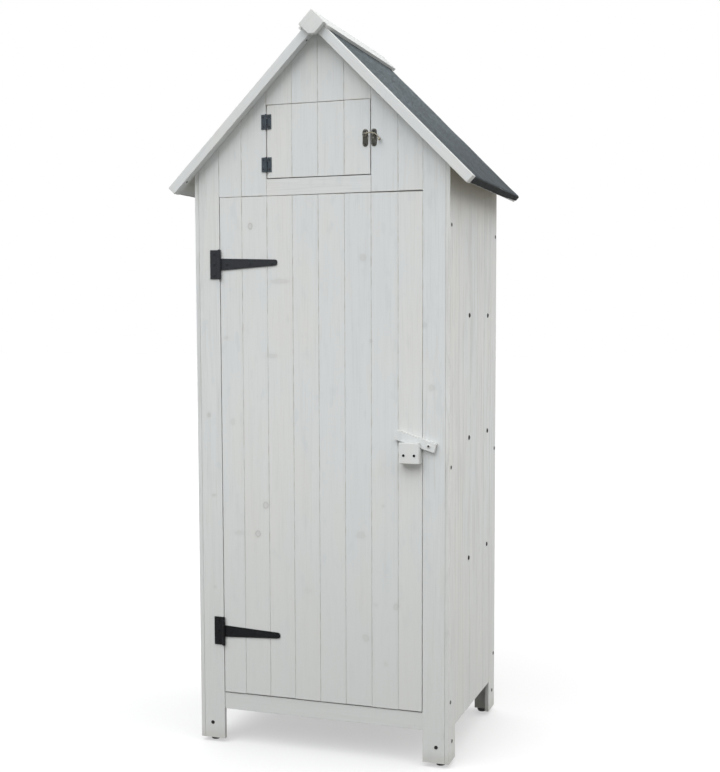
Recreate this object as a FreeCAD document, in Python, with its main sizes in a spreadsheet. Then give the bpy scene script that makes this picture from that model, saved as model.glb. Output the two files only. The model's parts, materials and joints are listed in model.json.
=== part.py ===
"""A tall garden storage cabinet with a pitched felt roof, a main door and a loft door.

Sizes are in millimetres and degrees. +X points to the right seen from the front, +Y to the back
and +Z up. The origin lies on the ground, under the middle of the whole cabinet.
"""
import FreeCAD, Part
import os
import re
import Sketcher

Vector = FreeCAD.Vector
Rotation = FreeCAD.Rotation

doc = FreeCAD.newDocument("GardenCabinet")
sheet = doc.addObject("Spreadsheet::Sheet", "Sizes")

SIZES = {
    # whole cabinet
    "total_height": 1790,
    "roof_width": 770,
    "body_width": 650,
    "body_depth": 482,
    "roof_pitch": 45,
    "roof_rear_overhang": 10,
    "ridge_rear_overhang": 18,
    # boards and posts
    "board_thickness": 10,
    "board_pitch": 66.5,
    "board_gap": 0.4,
    "board_bevel": 1.2,
    "tongue_thickness": 3.2,
    "tongue_length": 4,
    "tongue_play": 0.4,
    "post_size": 34,
    "stile_width": 55,
    "seam_gap": 0.4,
    "seat_gap": 0.2,
    # legs and glides
    "glide_height": 11,
    "glide_radius": 12.5,
    "glide_foot_radius": 10.5,
    "glide_foot_height": 3,
    "front_leg_board_width": 58,
    "rear_leg_board_width": 66,
    "side_board_count": 5,
    "panel_bottom": 92,
    # main door
    "rail_bottom": 88.5,
    "rail_height": 42,
    "door_gap": 2,
    "ledge_height": 60,
    "ledge_thickness": 18,
    "ledge_inset": 20,
    "brace_width": 70,
    # loft door
    "gable_head_height": 166.7,
    "middle_rail_height": 39.5,
    "loft_door_height": 172,
    "loft_board_count": 4,
    "loft_ledge_height": 30,
    "loft_ledge_thickness": 15,
    "loft_ledge_inset": 16,
    "loft_ledge_from_edge": 31,
    # floor, shelves and loft floor
    "floor_thickness": 12,
    "floor_stop": 8,
    "stop_gap": 0.5,
    "bearer_thickness": 20,
    "bearer_height": 30,
    "shelf_setback": 150,
    "shelf_batten_height": 30,
    "shelf_batten_thickness": 20,
    "shelf_screw_front": 187,
    "shelf_screw_rear": 383,
    "lower_shelf_height": 475.5,
    "middle_shelf_height": 777,
    "upper_shelf_height": 1078.5,
    "door_stop_overlap": 8.5,
    # roof
    "roof_board_thickness": 18,
    "roof_board_pitch": 91,
    "felt_thickness": 2,
    "felt_fold": 14,
    "rafter_depth": 25,
    "rafter_thickness": 20,
    "mitre_gap": 0.2,
    "bargeboard_width": 22,
    "bargeboard_thickness": 25,
    "ridge_board_thickness": 8.5,
    "ridge_board_width": 54,
    "peak_block_side": 46,
    "peak_block_thickness": 15,
    "peak_block_clip": 8,
    # strap hinges of the main door
    "upper_hinge_from_top": 161,
    "lower_hinge_from_bottom": 156,
    "hinge_plate_height": 71,
    "hinge_plate_reach": 26,
    "hinge_metal": 2,
    "hinge_barrel_radius": 4,
    "hinge_pin_radius": 2,
    "hinge_knuckle_height": 29,
    "strap_length": 153,
    "strap_tip_radius": 7,
    "hinge_play": 0.4,
    "hinge_standoff": 0.3,
    "pin_play": 0.05,
    "pin_head_height": 1,
    # butt hinges of the loft door
    "loft_hinge_from_top": 38,
    "loft_hinge_from_bottom": 32.5,
    "loft_hinge_height": 35,
    "loft_hinge_reach": 13,
    "loft_hinge_metal": 1.4,
    "loft_barrel_radius": 2.6,
    "loft_pin_radius": 1.2,
    "loft_knuckle_height": 14,
    # turn bar and its catch block
    "latch_height": 773,
    "bar_length": 102,
    "bar_width": 23.5,
    "bar_thickness": 9,
    "bar_standoff": 0.4,
    "bar_tilt": 17,
    "bar_pivot_from_end": 17,
    "bar_pivot_from_stile_edge": 17,
    "block_width": 50,
    "block_height": 49.5,
    "block_front_plate": 11.5,
    "block_drop": 42.5,
    "block_inset": 1,
    "slot_play": 1.1,
    "slot_clearance": 0.3,
    "block_screw_spacing": 26,
    "block_screw_height": 20,
    # loft door hook
    "hook_above_door_foot": 84,
    "latch_plate_width": 13.6,
    "latch_plate_height": 41,
    "latch_plate_metal": 1.5,
    "latch_plate_inset": 11.4,
    "catch_plate_inset": 8,
    "hook_post_rise": 6.5,
    "hook_post_radius": 2.2,
    "hook_post_length": 10.5,
    "post_head_radius": 3.6,
    "post_head_height": 1.5,
    "hook_radius": 24.2,
    "hook_start_angle": 124.5,
    "hook_end_angle": 21,
    "hook_rod_radius": 1.6,
    "hook_eye_radius": 4.4,
    "hook_eye_thickness": 3.6,
    "hook_knob_radius": 3,
    "hook_play": 0.3,
    # fasteners
    "screw_head_radius": 3.8,
    "screw_head_depth": 2.4,
    "screw_shank_radius": 2,
    "screw_length": 28,
    "screw_play": 0.1,
    "corner_screw_inset": 14,
    "corner_screw_upper": 722,
    "corner_screw_lower": 159,
    "foot_screw_height": 60,
    "foot_screw_inset": 28,
    "leg_screw_height": 50,
    "leg_screw_inset": 31.5,
    "fitting_screw_head_radius": 3.2,
    "fitting_screw_head_height": 1.4,
    "fitting_screw_radius": 1.7,
    "small_screw_head_radius": 2,
    "small_screw_head_height": 0.9,
    "small_screw_radius": 1,
    "small_screw_grip": 7,
    "plate_screw_spacing": 26,
    "strap_screw_first": 20,
    "strap_screw_spacing": 60,
    "loft_hinge_screw_spacing": 22,
    "latch_screw_offset": 15,
    "pivot_screw_radius": 2.25,
    "pivot_screw_head_radius": 4.2,
    "pivot_screw_head_height": 2.2,
}

for row, (alias, value) in enumerate(SIZES.items(), start=1):
    sheet.set(f"A{row}", alias)
    sheet.set(f"B{row}", str(value))
    sheet.setAlias(f"B{row}", alias)
doc.recompute()

nodes = []


def bound(text):
    """Turns the size names of an expression into cells of the sheet."""
    return re.sub(r"[a-z_]+", lambda word: f"Sizes.{word[0]}" if word[0] in SIZES else word[0], text)


def number(text):
    """The present value of an expression."""
    return float(sheet.evalExpression(bound(text)))


def place(part, at, turn=Rotation()):
    """Turns a part and ties its place (x, y, z) to the sheet."""
    part.Placement = FreeCAD.Placement(Vector(), turn)
    for axis, text in zip("xyz", at):
        part.setExpression(f"Placement.Base.{axis}", bound(text))
    return part


def box(name, x, y, z):
    """A block between three pairs of planes, each pair given as (low, high)."""
    block = doc.addObject("Part::Box", name)
    for side, (low, high) in zip(("Length", "Width", "Height"), (x, y, z)):
        block.setExpression(side, bound(f"({high}) - ({low})"))
    return place(block, (x[0], y[0], z[0]))


TURN_TO = {"x": Rotation(Vector(0, 1, 0), 90), "y": Rotation(Vector(1, 0, 0), -90), "z": Rotation()}


def rod(name, axis, radius, start, length):
    """A cylinder that runs from a start point along +X, +Y or +Z."""
    part = doc.addObject("Part::Cylinder", name)
    part.setExpression("Radius", bound(radius))
    part.setExpression("Height", bound(length))
    return place(part, start, TURN_TO[axis])


def cone(name, start_radius, end_radius, start, length, turn):
    """A cone that runs from a start point along its own turned axis."""
    part = doc.addObject("Part::Cone", name)
    part.setExpression("Radius1", bound(start_radius))
    part.setExpression("Radius2", bound(end_radius))
    part.setExpression("Height", bound(length))
    return place(part, start, turn)


def outline(body, plane, points):
    """A closed polygon on one of a body's origin planes, each corner tied to the sheet."""
    sketch = body.newObject("Sketcher::SketchObject", body.Name + "_outline")
    origin_plane = [item for item in body.Origin.OriginFeatures if item.Role == plane + "_Plane"][0]
    sketch.AttachmentSupport = [(origin_plane, "")]
    sketch.MapMode = "FlatFace"
    corners = [Vector(number(u), number(v), 0) for u, v in points]
    count = len(corners)
    for index in range(count):
        sketch.addGeometry(Part.LineSegment(corners[index], corners[(index + 1) % count]), False)
    rules = [Sketcher.Constraint("Coincident", index, 2, (index + 1) % count, 1) for index in range(count)]
    for index, corner in enumerate(corners):
        rules.append(Sketcher.Constraint("DistanceX", -1, 1, index, 1, corner.x))
        rules.append(Sketcher.Constraint("DistanceY", -1, 1, index, 1, corner.y))
    sketch.addConstraint(rules)
    for index, (u, v) in enumerate(points):
        sketch.setExpression(f"Constraints[{count + 2 * index}]", bound(u))
        sketch.setExpression(f"Constraints[{count + 2 * index + 1}]", bound(v))
    return sketch


def prism(name, plane, points, length, at=("0", "0", "0"), turn=Rotation()):
    """A polygon on the XY, XZ or YZ plane, drawn out along +Z, +Y or +X."""
    body = doc.addObject("PartDesign::Body", name)
    pad = body.newObject("PartDesign::Pad", name + "_pad")
    pad.Profile = outline(body, plane, points)
    pad.Reversed = plane == "XZ"
    pad.setExpression("Length", bound(length))
    body.Tip = pad
    return place(body, at, turn)


def fuse(name, parts):
    """Several overlapping or touching shapes as one solid."""
    whole = doc.addObject("Part::MultiFuse", name)
    whole.Shapes = parts
    return whole


def group(name, parts):
    """Several separate solids in one node."""
    whole = doc.addObject("Part::Compound", name)
    whole.Links = parts
    return whole


def cut(name, base, tool):
    """A shape with a tool shape taken away."""
    result = doc.addObject("Part::Cut", name)
    result.Base = base
    result.Tool = tool
    return result


def common(name, base, tool):
    """What two shapes share."""
    result = doc.addObject("Part::Common", name)
    result.Base = base
    result.Tool = tool
    return result


def mirrored(name, part):
    """A part's mirror image in the plane that divides left from right."""
    image = doc.addObject("Part::Mirroring", name)
    image.Source = part
    image.Normal = Vector(1, 0, 0)
    return image


def node(label, part):
    """Keeps a finished sub-part under its own label."""
    part.Label = label
    nodes.append(part)
    return part


def board_row(name, count, pitch, thickness, length, at, turn=Rotation()):
    """A row of tongue and groove boards, drawn out along Z before it is turned.

    The boards stand side by side along X from 0. Their bevelled faces lie at Y = 0 and their plain
    faces at Y = thickness. Each board's tongue reaches into the groove of the next one.
    """
    left = "board_gap / 2"
    right = f"({pitch} - board_gap / 2)"
    tongue_low = f"(({thickness} - tongue_thickness) / 2)"
    tongue_high = f"(({thickness} + tongue_thickness) / 2)"
    groove_end = "(board_gap / 2 + tongue_length + tongue_play)"
    points = [
        (f"{left} + board_bevel", "0"),
        (f"{right} - board_bevel", "0"),
        (right, "board_bevel"),
        (right, tongue_low),
        (f"{right} + tongue_length", tongue_low),
        (f"{right} + tongue_length", tongue_high),
        (right, tongue_high),
        (right, thickness),
        (left, thickness),
        (left, f"{tongue_high} + tongue_play / 2"),
        (groove_end, f"{tongue_high} + tongue_play / 2"),
        (groove_end, f"{tongue_low} - tongue_play / 2"),
        (left, f"{tongue_low} - tongue_play / 2"),
        (left, "board_bevel"),
    ]
    body = doc.addObject("PartDesign::Body", name)
    pad = body.newObject("PartDesign::Pad", name + "_pad")
    pad.Profile = outline(body, "XY", points)
    pad.setExpression("Length", bound(length))
    row = body.newObject("PartDesign::LinearPattern", name + "_row")
    row.Originals = [pad]
    row.Direction = (pad.Profile[0], ["H_Axis"])
    row.setExpression("Length", bound(f"({count} - 1) * {pitch}"))
    row.setExpression("Occurrences", bound(count))
    body.Tip = row
    return place(body, at, turn)


# Places that several sub-parts share, worked out from the sizes

overall_depth = ("(peak_block_thickness + bargeboard_thickness + body_depth"
                 " + max(roof_rear_overhang; ridge_rear_overhang))")
front = f"(peak_block_thickness + bargeboard_thickness - {overall_depth} / 2)"
back = f"({front} + body_depth)"
roof_back = f"({back} + roof_rear_overhang)"
half_width = "(body_width / 2)"
inner_half = f"({half_width} - board_thickness)"
post_inner = f"({inner_half} - post_size)"
opening_half = f"({inner_half} - stile_width)"
door_half = f"({opening_half} - door_gap)"
loft_opening_half = "(loft_board_count * board_pitch / 2)"
loft_half = f"({loft_opening_half} - door_gap)"
felt_apex = "(total_height - ridge_board_thickness / cos(roof_pitch))"
soffit_apex = f"({felt_apex} - (felt_thickness + roof_board_thickness) / cos(roof_pitch))"
loft_header = f"({soffit_apex} - gable_head_height)"
loft_top = f"({loft_header} - door_gap)"
loft_bottom = f"({loft_top} - loft_door_height)"
loft_sill = f"({loft_bottom} - door_gap)"
middle_rail_bottom = f"({loft_sill} - middle_rail_height)"
door_top = f"({middle_rail_bottom} - door_gap)"
rail_top = "(rail_bottom + rail_height)"
door_bottom = f"({rail_top} + door_gap)"
door_height = f"({door_top} - {door_bottom})"
hook_height = f"({loft_bottom} + hook_above_door_foot)"
panel_front = f"({front} + board_thickness)"
panel_back = f"({back} - board_thickness)"
floor_top = f"({door_bottom} + floor_stop)"
floor_bottom = f"({floor_top} - floor_thickness)"
loft_floor_top = f"({loft_bottom} + floor_stop)"
loft_floor_bottom = f"({loft_floor_top} - floor_thickness)"
side_top = f"({soffit_apex} - {half_width} * tan(roof_pitch) - seat_gap)"


def soffit(x, gap="seat_gap"):
    """Height just under the roof boards at a distance x from the middle."""
    return f"({soffit_apex} - ({x}) * tan(roof_pitch) - {gap})"


def gable(name, start, length):
    """The outline of the front or back, from the foot of the boards up to the two slopes."""
    points = [
        (f"-{inner_half}", "panel_bottom"),
        (inner_half, "panel_bottom"),
        (inner_half, soffit(inner_half)),
        ("0", soffit("0")),
        (f"-{inner_half}", soffit(inner_half)),
    ]
    return prism(name, "XZ", points, length, ("0", start, "0"))


# Screws: each is driven along its own turned Z axis from the surface that carries its head

DRIVE = {
    "left": Rotation(Vector(0, 1, 0), -90),
    "right": Rotation(Vector(0, 1, 0), 90),
    "back": Rotation(Vector(1, 0, 0), -90),
}


def sunk_screw(name, at, way, play="0"):
    """A countersunk screw, or its bore where play is given."""
    turn = DRIVE[way]
    head = cone(name + "_head", f"screw_head_radius + {play}", f"screw_shank_radius + {play}",
                at, "screw_head_depth", turn)
    shank = doc.addObject("Part::Cylinder", name + "_shank")
    shank.setExpression("Radius", bound(f"screw_shank_radius + {play}"))
    shank.setExpression("Height", bound(f"screw_length + {play}"))
    place(shank, at, turn)
    return fuse(name, [head, shank])


def head_screw(name, at, size, grip):
    """A screw whose round head stands on a fitting. size is (head radius, head height, shank radius)."""
    head_radius, head_height, radius = size
    x, y, z = at
    head = rod(name + "_head", "y", head_radius, (x, f"{y} - {head_height}", z), head_height)
    shank = rod(name + "_shank", "y", radius, at, grip)
    return fuse(name, [head, shank])


def screw_bore(name, at, size, grip):
    """The bore of a screw with a standing head, a little wider and longer than its shank."""
    x, y, z = at
    return rod(name, "y", f"{size[2]} + screw_play", (x, f"{y} - screw_play", z), f"{grip} + 2 * screw_play")


FITTING_SCREW = ("fitting_screw_head_radius", "fitting_screw_head_height", "fitting_screw_radius")
SMALL_SCREW = ("small_screw_head_radius", "small_screw_head_height", "small_screw_radius")
PIVOT_SCREW = ("pivot_screw_head_radius", "pivot_screw_head_height", "pivot_screw_radius")


def screw_set(name, places, size, grip):
    """Screws with standing heads at several places, and their bores."""
    screws = [head_screw(f"{name}_{index}", at, size, grip) for index, at in enumerate(places)]
    bores = [screw_bore(f"{name}_bore_{index}", at, size, grip) for index, at in enumerate(places)]
    return screws, bores


def side_screw_places():
    """Where the dark screws of the right side sit: (distance from the front face, height)."""
    shelf_rows = ["lower_shelf_height", "middle_shelf_height", "upper_shelf_height"]
    places = [(inset, row) for row in shelf_rows for inset in ("shelf_screw_front", "shelf_screw_rear")]
    for row in ("corner_screw_upper", "corner_screw_lower"):
        places.append(("corner_screw_inset", row))
        places.append(("body_depth - corner_screw_inset", row))
    places.append(("foot_screw_inset", "foot_screw_height"))
    places.append(("body_depth - foot_screw_inset", "foot_screw_height"))
    return places


def cladding_screws():
    """The countersunk screws of both sides and of the two front feet, and their bores."""
    screws = []
    bores = {"left": [], "right": [], "front": []}
    for index, (inset, height) in enumerate(side_screw_places()):
        for side, x, way in (("right", half_width, "left"), ("left", f"-{half_width}", "right")):
            at = (x, f"{front} + {inset}", height)
            screws.append(sunk_screw(f"{side}_screw_{index}", at, way))
            bores[side].append(sunk_screw(f"{side}_bore_{index}", at, way, "screw_play"))
    foot_x = f"({half_width} - leg_screw_inset)"
    for side, x in (("right", foot_x), ("left", f"-{foot_x}")):
        at = (x, front, "leg_screw_height")
        screws.append(sunk_screw(f"front_{side}_screw", at, "back"))
        bores["front"].append(sunk_screw(f"front_{side}_bore", at, "back", "screw_play"))
    node("cladding_screws", group("cladding_screws", screws))
    return {side: group(f"{side}_bores", tools) for side, tools in bores.items()}


# Hinges: an outer leaf with two knuckles, an inner leaf or strap with one, and a pin


def hinge_axis(opening, barrel):
    """A hinge pin's place: in the middle of the door gap and just in front of the boards."""
    return f"(-({opening} - door_gap / 2))", f"({front} - {barrel} - hinge_standoff)"


def outer_leaf(name, axis, height, leaf, screw_bores):
    """The leaf on the frame: a plate with a knuckle at its top and one at its bottom."""
    x, y = axis
    barrel, pin, metal, plate_height, knuckle, reach = leaf
    plate = box(name + "_plate", (f"{x} - {reach}", f"{x} - {barrel} - hinge_play"),
                (f"{front} - {metal}", front),
                (f"{height} - {plate_height} / 2", f"{height} + {plate_height} / 2"))
    pieces = [plate]
    for end, low, high in (
            ("upper", f"{height} + {knuckle} / 2 + hinge_play", f"{height} + {plate_height} / 2"),
            ("lower", f"{height} - {plate_height} / 2", f"{height} - {knuckle} / 2 - hinge_play")):
        pieces.append(box(f"{name}_{end}_arm", (f"{x} - {barrel} - hinge_play", x),
                          (f"{front} - {metal}", f"{front} - hinge_standoff"), (low, high)))
        pieces.append(rod(f"{name}_{end}_knuckle", "z", barrel, (x, y, low), f"({high}) - ({low})"))
    bore = rod(name + "_pin_bore", "z", f"{pin} + pin_play",
               (x, y, f"{height} - {plate_height}"), f"2 * {plate_height}")
    return cut(name + "_leaf", fuse(name + "_solid", pieces), group(name + "_bores", [bore] + screw_bores))


def inner_leaf(name, axis, height, leaf, plate_pieces, screw_bores):
    """The leaf on the door: a middle knuckle and an arm that carries the given plate."""
    x, y = axis
    barrel, pin, metal, plate_height, knuckle, reach = leaf
    low = f"{height} - {knuckle} / 2"
    arm = box(name + "_arm", (x, f"{x} + {barrel} + hinge_play"), (f"{front} - {metal}", front),
              (low, f"{height} + {knuckle} / 2"))
    middle = rod(name + "_knuckle", "z", barrel, (x, y, low), knuckle)
    bore = rod(name + "_pin_bore", "z", f"{pin} + pin_play",
               (x, y, f"{height} - {plate_height}"), f"2 * {plate_height}")
    pieces = [arm, middle] + plate_pieces
    return cut(name + "_leaf", fuse(name + "_solid", pieces), group(name + "_bores", [bore] + screw_bores))


def hinge_pin(name, axis, height, leaf):
    """A pin with a thin head at each end."""
    x, y = axis
    barrel, pin, metal, plate_height, knuckle, reach = leaf
    low = f"{height} - {plate_height} / 2 - pin_head_height"
    shaft = rod(name + "_shaft", "z", pin, (x, y, low), f"{plate_height} + 2 * pin_head_height")
    head_radius = f"({pin} + {barrel}) / 2"
    foot = rod(name + "_foot", "z", head_radius, (x, y, low), "pin_head_height")
    head = rod(name + "_head", "z", head_radius, (x, y, f"{height} + {plate_height} / 2"), "pin_head_height")
    return fuse(name, [shaft, foot, head])


STRAP_LEAF = ("hinge_barrel_radius", "hinge_pin_radius", "hinge_metal", "hinge_plate_height",
              "hinge_knuckle_height", "hinge_plate_reach")
BUTT_LEAF = ("loft_barrel_radius", "loft_pin_radius", "loft_hinge_metal", "loft_hinge_height",
             "loft_knuckle_height", "loft_hinge_reach")


def strap_hinge(name, height):
    """A long strap hinge of the main door: returns its pin, its screws and the bores in the wood."""
    axis = hinge_axis(opening_half, "hinge_barrel_radius")
    x = axis[0]
    plate_x = f"{x} - hinge_plate_reach / 2 - hinge_barrel_radius / 2"
    surface = f"{front} - hinge_metal"
    plate_grip = "(hinge_metal + board_thickness - screw_play)"
    plate_places = [(plate_x, surface, f"{height} + {step} * plate_screw_spacing") for step in (-1, 0, 1)]
    plate_screws, plate_bores = screw_set(name + "_plate_screw", plate_places, FITTING_SCREW, plate_grip)
    strap_grip = "(hinge_metal + board_thickness + ledge_thickness / 2)"
    strap_places = [(f"{x} + strap_screw_first + {step} * strap_screw_spacing", surface, height)
                    for step in (0, 1, 2)]
    strap_screws, strap_bores = screw_set(name + "_strap_screw", strap_places, FITTING_SCREW, strap_grip)
    node(name + "_plate", outer_leaf(name + "_plate", axis, height, STRAP_LEAF, plate_bores))
    root = "hinge_knuckle_height / 2"
    tip = "(strap_length - strap_tip_radius)"
    reach = f"({x} + hinge_barrel_radius + hinge_play)"
    taper = [
        (reach, f"{height} - {root}"),
        (f"{x} + {tip}", f"{height} - strap_tip_radius"),
        (f"{x} + {tip}", f"{height} + strap_tip_radius"),
        (reach, f"{height} + {root}"),
    ]
    blade = prism(name + "_blade", "XZ", taper, "hinge_metal", ("0", surface, "0"))
    tip_disc = rod(name + "_tip", "y", "strap_tip_radius", (f"{x} + {tip}", surface, height), "hinge_metal")
    node(name + "_strap", inner_leaf(name + "_strap", axis, height, STRAP_LEAF,
                                     [blade, tip_disc], strap_bores))
    pin = hinge_pin(name + "_pin", axis, height, STRAP_LEAF)
    return pin, plate_screws, plate_bores, strap_screws, strap_bores


def butt_hinge(name, height):
    """A small butt hinge of the loft door: its two leaves, pin, screws and bores."""
    axis = hinge_axis(loft_opening_half, "loft_barrel_radius")
    x = axis[0]
    offset = "(loft_hinge_reach + loft_barrel_radius) / 2"
    surface = f"{front} - loft_hinge_metal"
    sets = {}
    for side, sign in (("frame", "-"), ("door", "+")):
        places = [(f"{x} {sign} {offset}", surface, f"{height} + {step} * loft_hinge_screw_spacing / 2")
                  for step in (-1, 1)]
        sets[side] = screw_set(f"{name}_{side}_screw", places, SMALL_SCREW, "small_screw_grip")
    frame_leaf = outer_leaf(name + "_frame", axis, height, BUTT_LEAF, sets["frame"][1])
    plate = box(name + "_door_plate",
                (f"{x} + loft_barrel_radius + hinge_play", f"{x} + loft_hinge_reach"), (surface, front),
                (f"{height} - loft_hinge_height / 2", f"{height} + loft_hinge_height / 2"))
    door_leaf = inner_leaf(name + "_door", axis, height, BUTT_LEAF, [plate], sets["door"][1])
    pin = hinge_pin(name + "_pin", axis, height, BUTT_LEAF)
    return frame_leaf, door_leaf, pin, sets


# Cabinet body


def stiles(front_bores, hinge_bores, pivot_bore):
    """The front boards beside the door, which are also the front faces of the legs."""
    outer = f"({inner_half} - seam_gap)"
    points = [
        (opening_half, "glide_height"),
        (outer, "glide_height"),
        (outer, soffit(outer)),
        (opening_half, soffit(opening_half)),
    ]
    right_blank = prism("right_stile_blank", "XZ", points, "board_thickness", ("0", front, "0"))
    left_blank = mirrored("left_stile_blank", right_blank)
    node("right_stile", cut("right_stile", right_blank, group("right_stile_bores", [front_bores, pivot_bore])))
    node("left_stile", cut("left_stile", left_blank, group("left_stile_bores", [front_bores] + hinge_bores)))


def front_rails():
    """The plain rails under the main door and between the two doors."""
    face = (front, panel_front)
    clear = f"({opening_half} - seam_gap / 2)"
    node("bottom_rail", box("bottom_rail", (f"-{clear}", clear), face, ("rail_bottom", rail_top)))
    clear = f"({loft_opening_half} - seam_gap / 2)"
    middle = (middle_rail_bottom, f"{loft_sill}")
    node("middle_rail", box("middle_rail", (f"-{clear}", clear), face, middle))


def gable_boards(bores):
    """The front boards beside and above the loft door, cut to the slope of the roof."""
    near = f"({loft_opening_half} + board_gap / 2)"
    far = f"({opening_half} - seam_gap / 2)"
    outer_count = f"ceil(({opening_half} - {loft_opening_half}) / board_pitch)"
    depth = (f"{front} - board_thickness", f"{panel_front} + board_thickness")
    parts = (
        ("left", (f"-{far}", f"-{near}"), middle_rail_bottom,
         outer_count, f"(-{loft_opening_half} - {outer_count} * board_pitch)"),
        ("right", (near, far), middle_rail_bottom, outer_count, loft_opening_half),
        ("middle", (f"-{near} + board_gap", f"{near} - board_gap"), loft_header,
         "loft_board_count", f"(-{loft_opening_half})"),
    )
    for side, width, bottom, count, start in parts:
        name = f"gable_boards_{side}"
        row = board_row(name + "_row", count, "board_pitch", "board_thickness", "total_height",
                        (start, front, "0"))
        under_roof = common(name + "_slope", row, gable(name + "_shape", front, "board_thickness"))
        boards = common(name + "_blank", under_roof,
                        box(name + "_zone", width, depth, (bottom, "total_height")))
        node(name, cut(name, boards, bores[side]) if side in bores else boards)


def side_walls(bores):
    """Each side: a leg board at the front and back that reach the ground, and shorter boards between."""
    outer = half_width
    inner = f"({inner_half})"
    front_seam = "(front_leg_board_width - board_gap / 2)"
    rear_seam = "(body_depth - rear_leg_board_width + board_gap / 2)"
    front_points = [
        (inner, "0"),
        (outer, "0"),
        (outer, f"{front_seam} - board_bevel"),
        (f"{outer} - board_bevel", front_seam),
        (inner, front_seam),
    ]
    rear_points = [
        (inner, rear_seam),
        (f"{outer} - board_bevel", rear_seam),
        (outer, f"{rear_seam} + board_bevel"),
        (outer, "body_depth"),
        (inner, "body_depth"),
    ]
    at = ("0", front, "glide_height")
    height = f"({side_top} - glide_height)"
    span = "(body_depth - front_leg_board_width - rear_leg_board_width)"
    pitch = f"({span} / side_board_count)"
    row = board_row("side_row", "side_board_count", pitch, "board_thickness", f"({side_top} - panel_bottom)",
                    (outer, f"{front} + front_leg_board_width", "panel_bottom"),
                    Rotation(Vector(0, 0, 1), 90))
    zone = box("side_zone", (inner, outer),
               (f"{front} + {front_seam} + board_gap", f"{front} + {rear_seam} - board_gap"),
               ("panel_bottom", side_top))
    right = {
        "front_{}_leg_board": prism("front_leg_board", "XY", front_points, height, at),
        "rear_{}_leg_board": prism("rear_leg_board", "XY", rear_points, height, at),
        "{}_side_boards": common("side_boards", row, zone),
    }
    for label, blank in right.items():
        name = label.format("right")
        node(name, cut(name, blank, bores["right"]))
        name = label.format("left")
        node(name, cut(name, mirrored(name + "_blank", blank), bores["left"]))


def posts(bores):
    """The four square corner posts inside the boards, from the glides to the roof."""
    width = (post_inner, inner_half)
    height = ("glide_height", soffit(inner_half))
    for end, depth in (("front", (panel_front, f"{panel_front} + post_size")),
                       ("rear", (f"{panel_back} - post_size", panel_back))):
        blank = box(f"{end}_post_blank", width, depth, height)
        tools = [bores["right"]] + ([bores["front"]] if end == "front" else [])
        node(f"{end}_right_post", cut(f"{end}_right_post", blank, group(f"{end}_right_post_bores", tools)))
        image = mirrored(f"{end}_left_blank", blank)
        tools = [bores["left"]] + ([bores["front"]] if end == "front" else [])
        node(f"{end}_left_post", cut(f"{end}_left_post", image, group(f"{end}_left_post_bores", tools)))


def back_wall():
    """The boards of the back, cut to the slope of the roof."""
    count = f"(2 * ceil({inner_half} / board_pitch))"
    row = board_row("back_row", count, "board_pitch", "board_thickness", "total_height",
                    (f"{count} / 2 * board_pitch", back, "0"), Rotation(Vector(0, 0, 1), 180))
    node("back_boards", common("back_boards", row, gable("back_shape", panel_back, "board_thickness")))


FLOOR_TURN = Rotation(Vector(0, 1, 0), Vector(0, 0, -1), Vector(-1, 0, 0), "ZXY")


def floor_like(name, start, top, thickness, end=f"({panel_back} - seat_gap)"):
    """Boards laid from side to side between two depths, notched around the corner posts."""
    count = f"ceil(({end} - {start}) / board_pitch)"
    clear = f"({inner_half} - seat_gap)"
    row = board_row(name + "_row", count, "board_pitch", thickness, f"2 * {inner_half}",
                    (inner_half, start, top), FLOOR_TURN)
    zone = box(name + "_zone", (f"-{clear}", clear), (start, end), (f"{top} - {thickness}", top))
    notches = []
    for side, low, high in (("right", f"{post_inner} - seat_gap", half_width),
                            ("left", f"-{half_width}", f"-({post_inner} - seat_gap)")):
        for place_name, depth in (
                ("front", (f"{front}", f"{panel_front} + post_size + seat_gap")),
                ("rear", (f"{panel_back} - post_size - seat_gap", back))):
            notches.append(box(f"{name}_{place_name}_{side}_notch", (low, high), depth,
                               (f"{top} - 2 * {thickness}", f"{top} + {thickness}")))
    return node(name, cut(name, common(name + "_boards", row, zone), group(name + "_notches", notches)))


def floor_and_bearers():
    """The floor boards and the two bearers that carry them between the posts."""
    clear = f"({post_inner} - seat_gap)"
    height = (f"{floor_bottom} - bearer_height", floor_bottom)
    front_bearer = box("front_floor_bearer", (f"-{clear}", clear),
                       (panel_front, f"{panel_front} + bearer_thickness"), height)
    rear_bearer = box("rear_floor_bearer", (f"-{clear}", clear),
                      (f"{panel_back} - bearer_thickness", panel_back), height)
    node("floor_bearers", group("floor_bearers", [front_bearer, rear_bearer]))
    floor_like("floor_boards", f"({panel_front} + stop_gap)", floor_top, "floor_thickness")


def shelves(bores):
    """Three board shelves on battens that are screwed through the sides."""
    start = f"({front} + shelf_setback)"
    depth = (start, f"{panel_back} - post_size - seat_gap")
    rows = (("lower_shelf", "lower_shelf_height"),
            ("middle_shelf", "middle_shelf_height"),
            ("upper_shelf", "upper_shelf_height"))
    battens = []
    for name, height in rows:
        levels = (f"{height} - shelf_batten_height / 2", f"{height} + shelf_batten_height / 2")
        blank = box(name + "_batten_blank", (f"{inner_half} - shelf_batten_thickness", inner_half),
                    depth, levels)
        battens.append(cut(name + "_right_batten", blank, bores["right"]))
        battens.append(cut(name + "_left_batten", mirrored(name + "_left_blank", blank), bores["left"]))
        floor_like(name, start, f"({height} + shelf_batten_height / 2 + floor_thickness)", "floor_thickness")
    node("shelf_battens", group("shelf_battens", battens))


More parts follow.
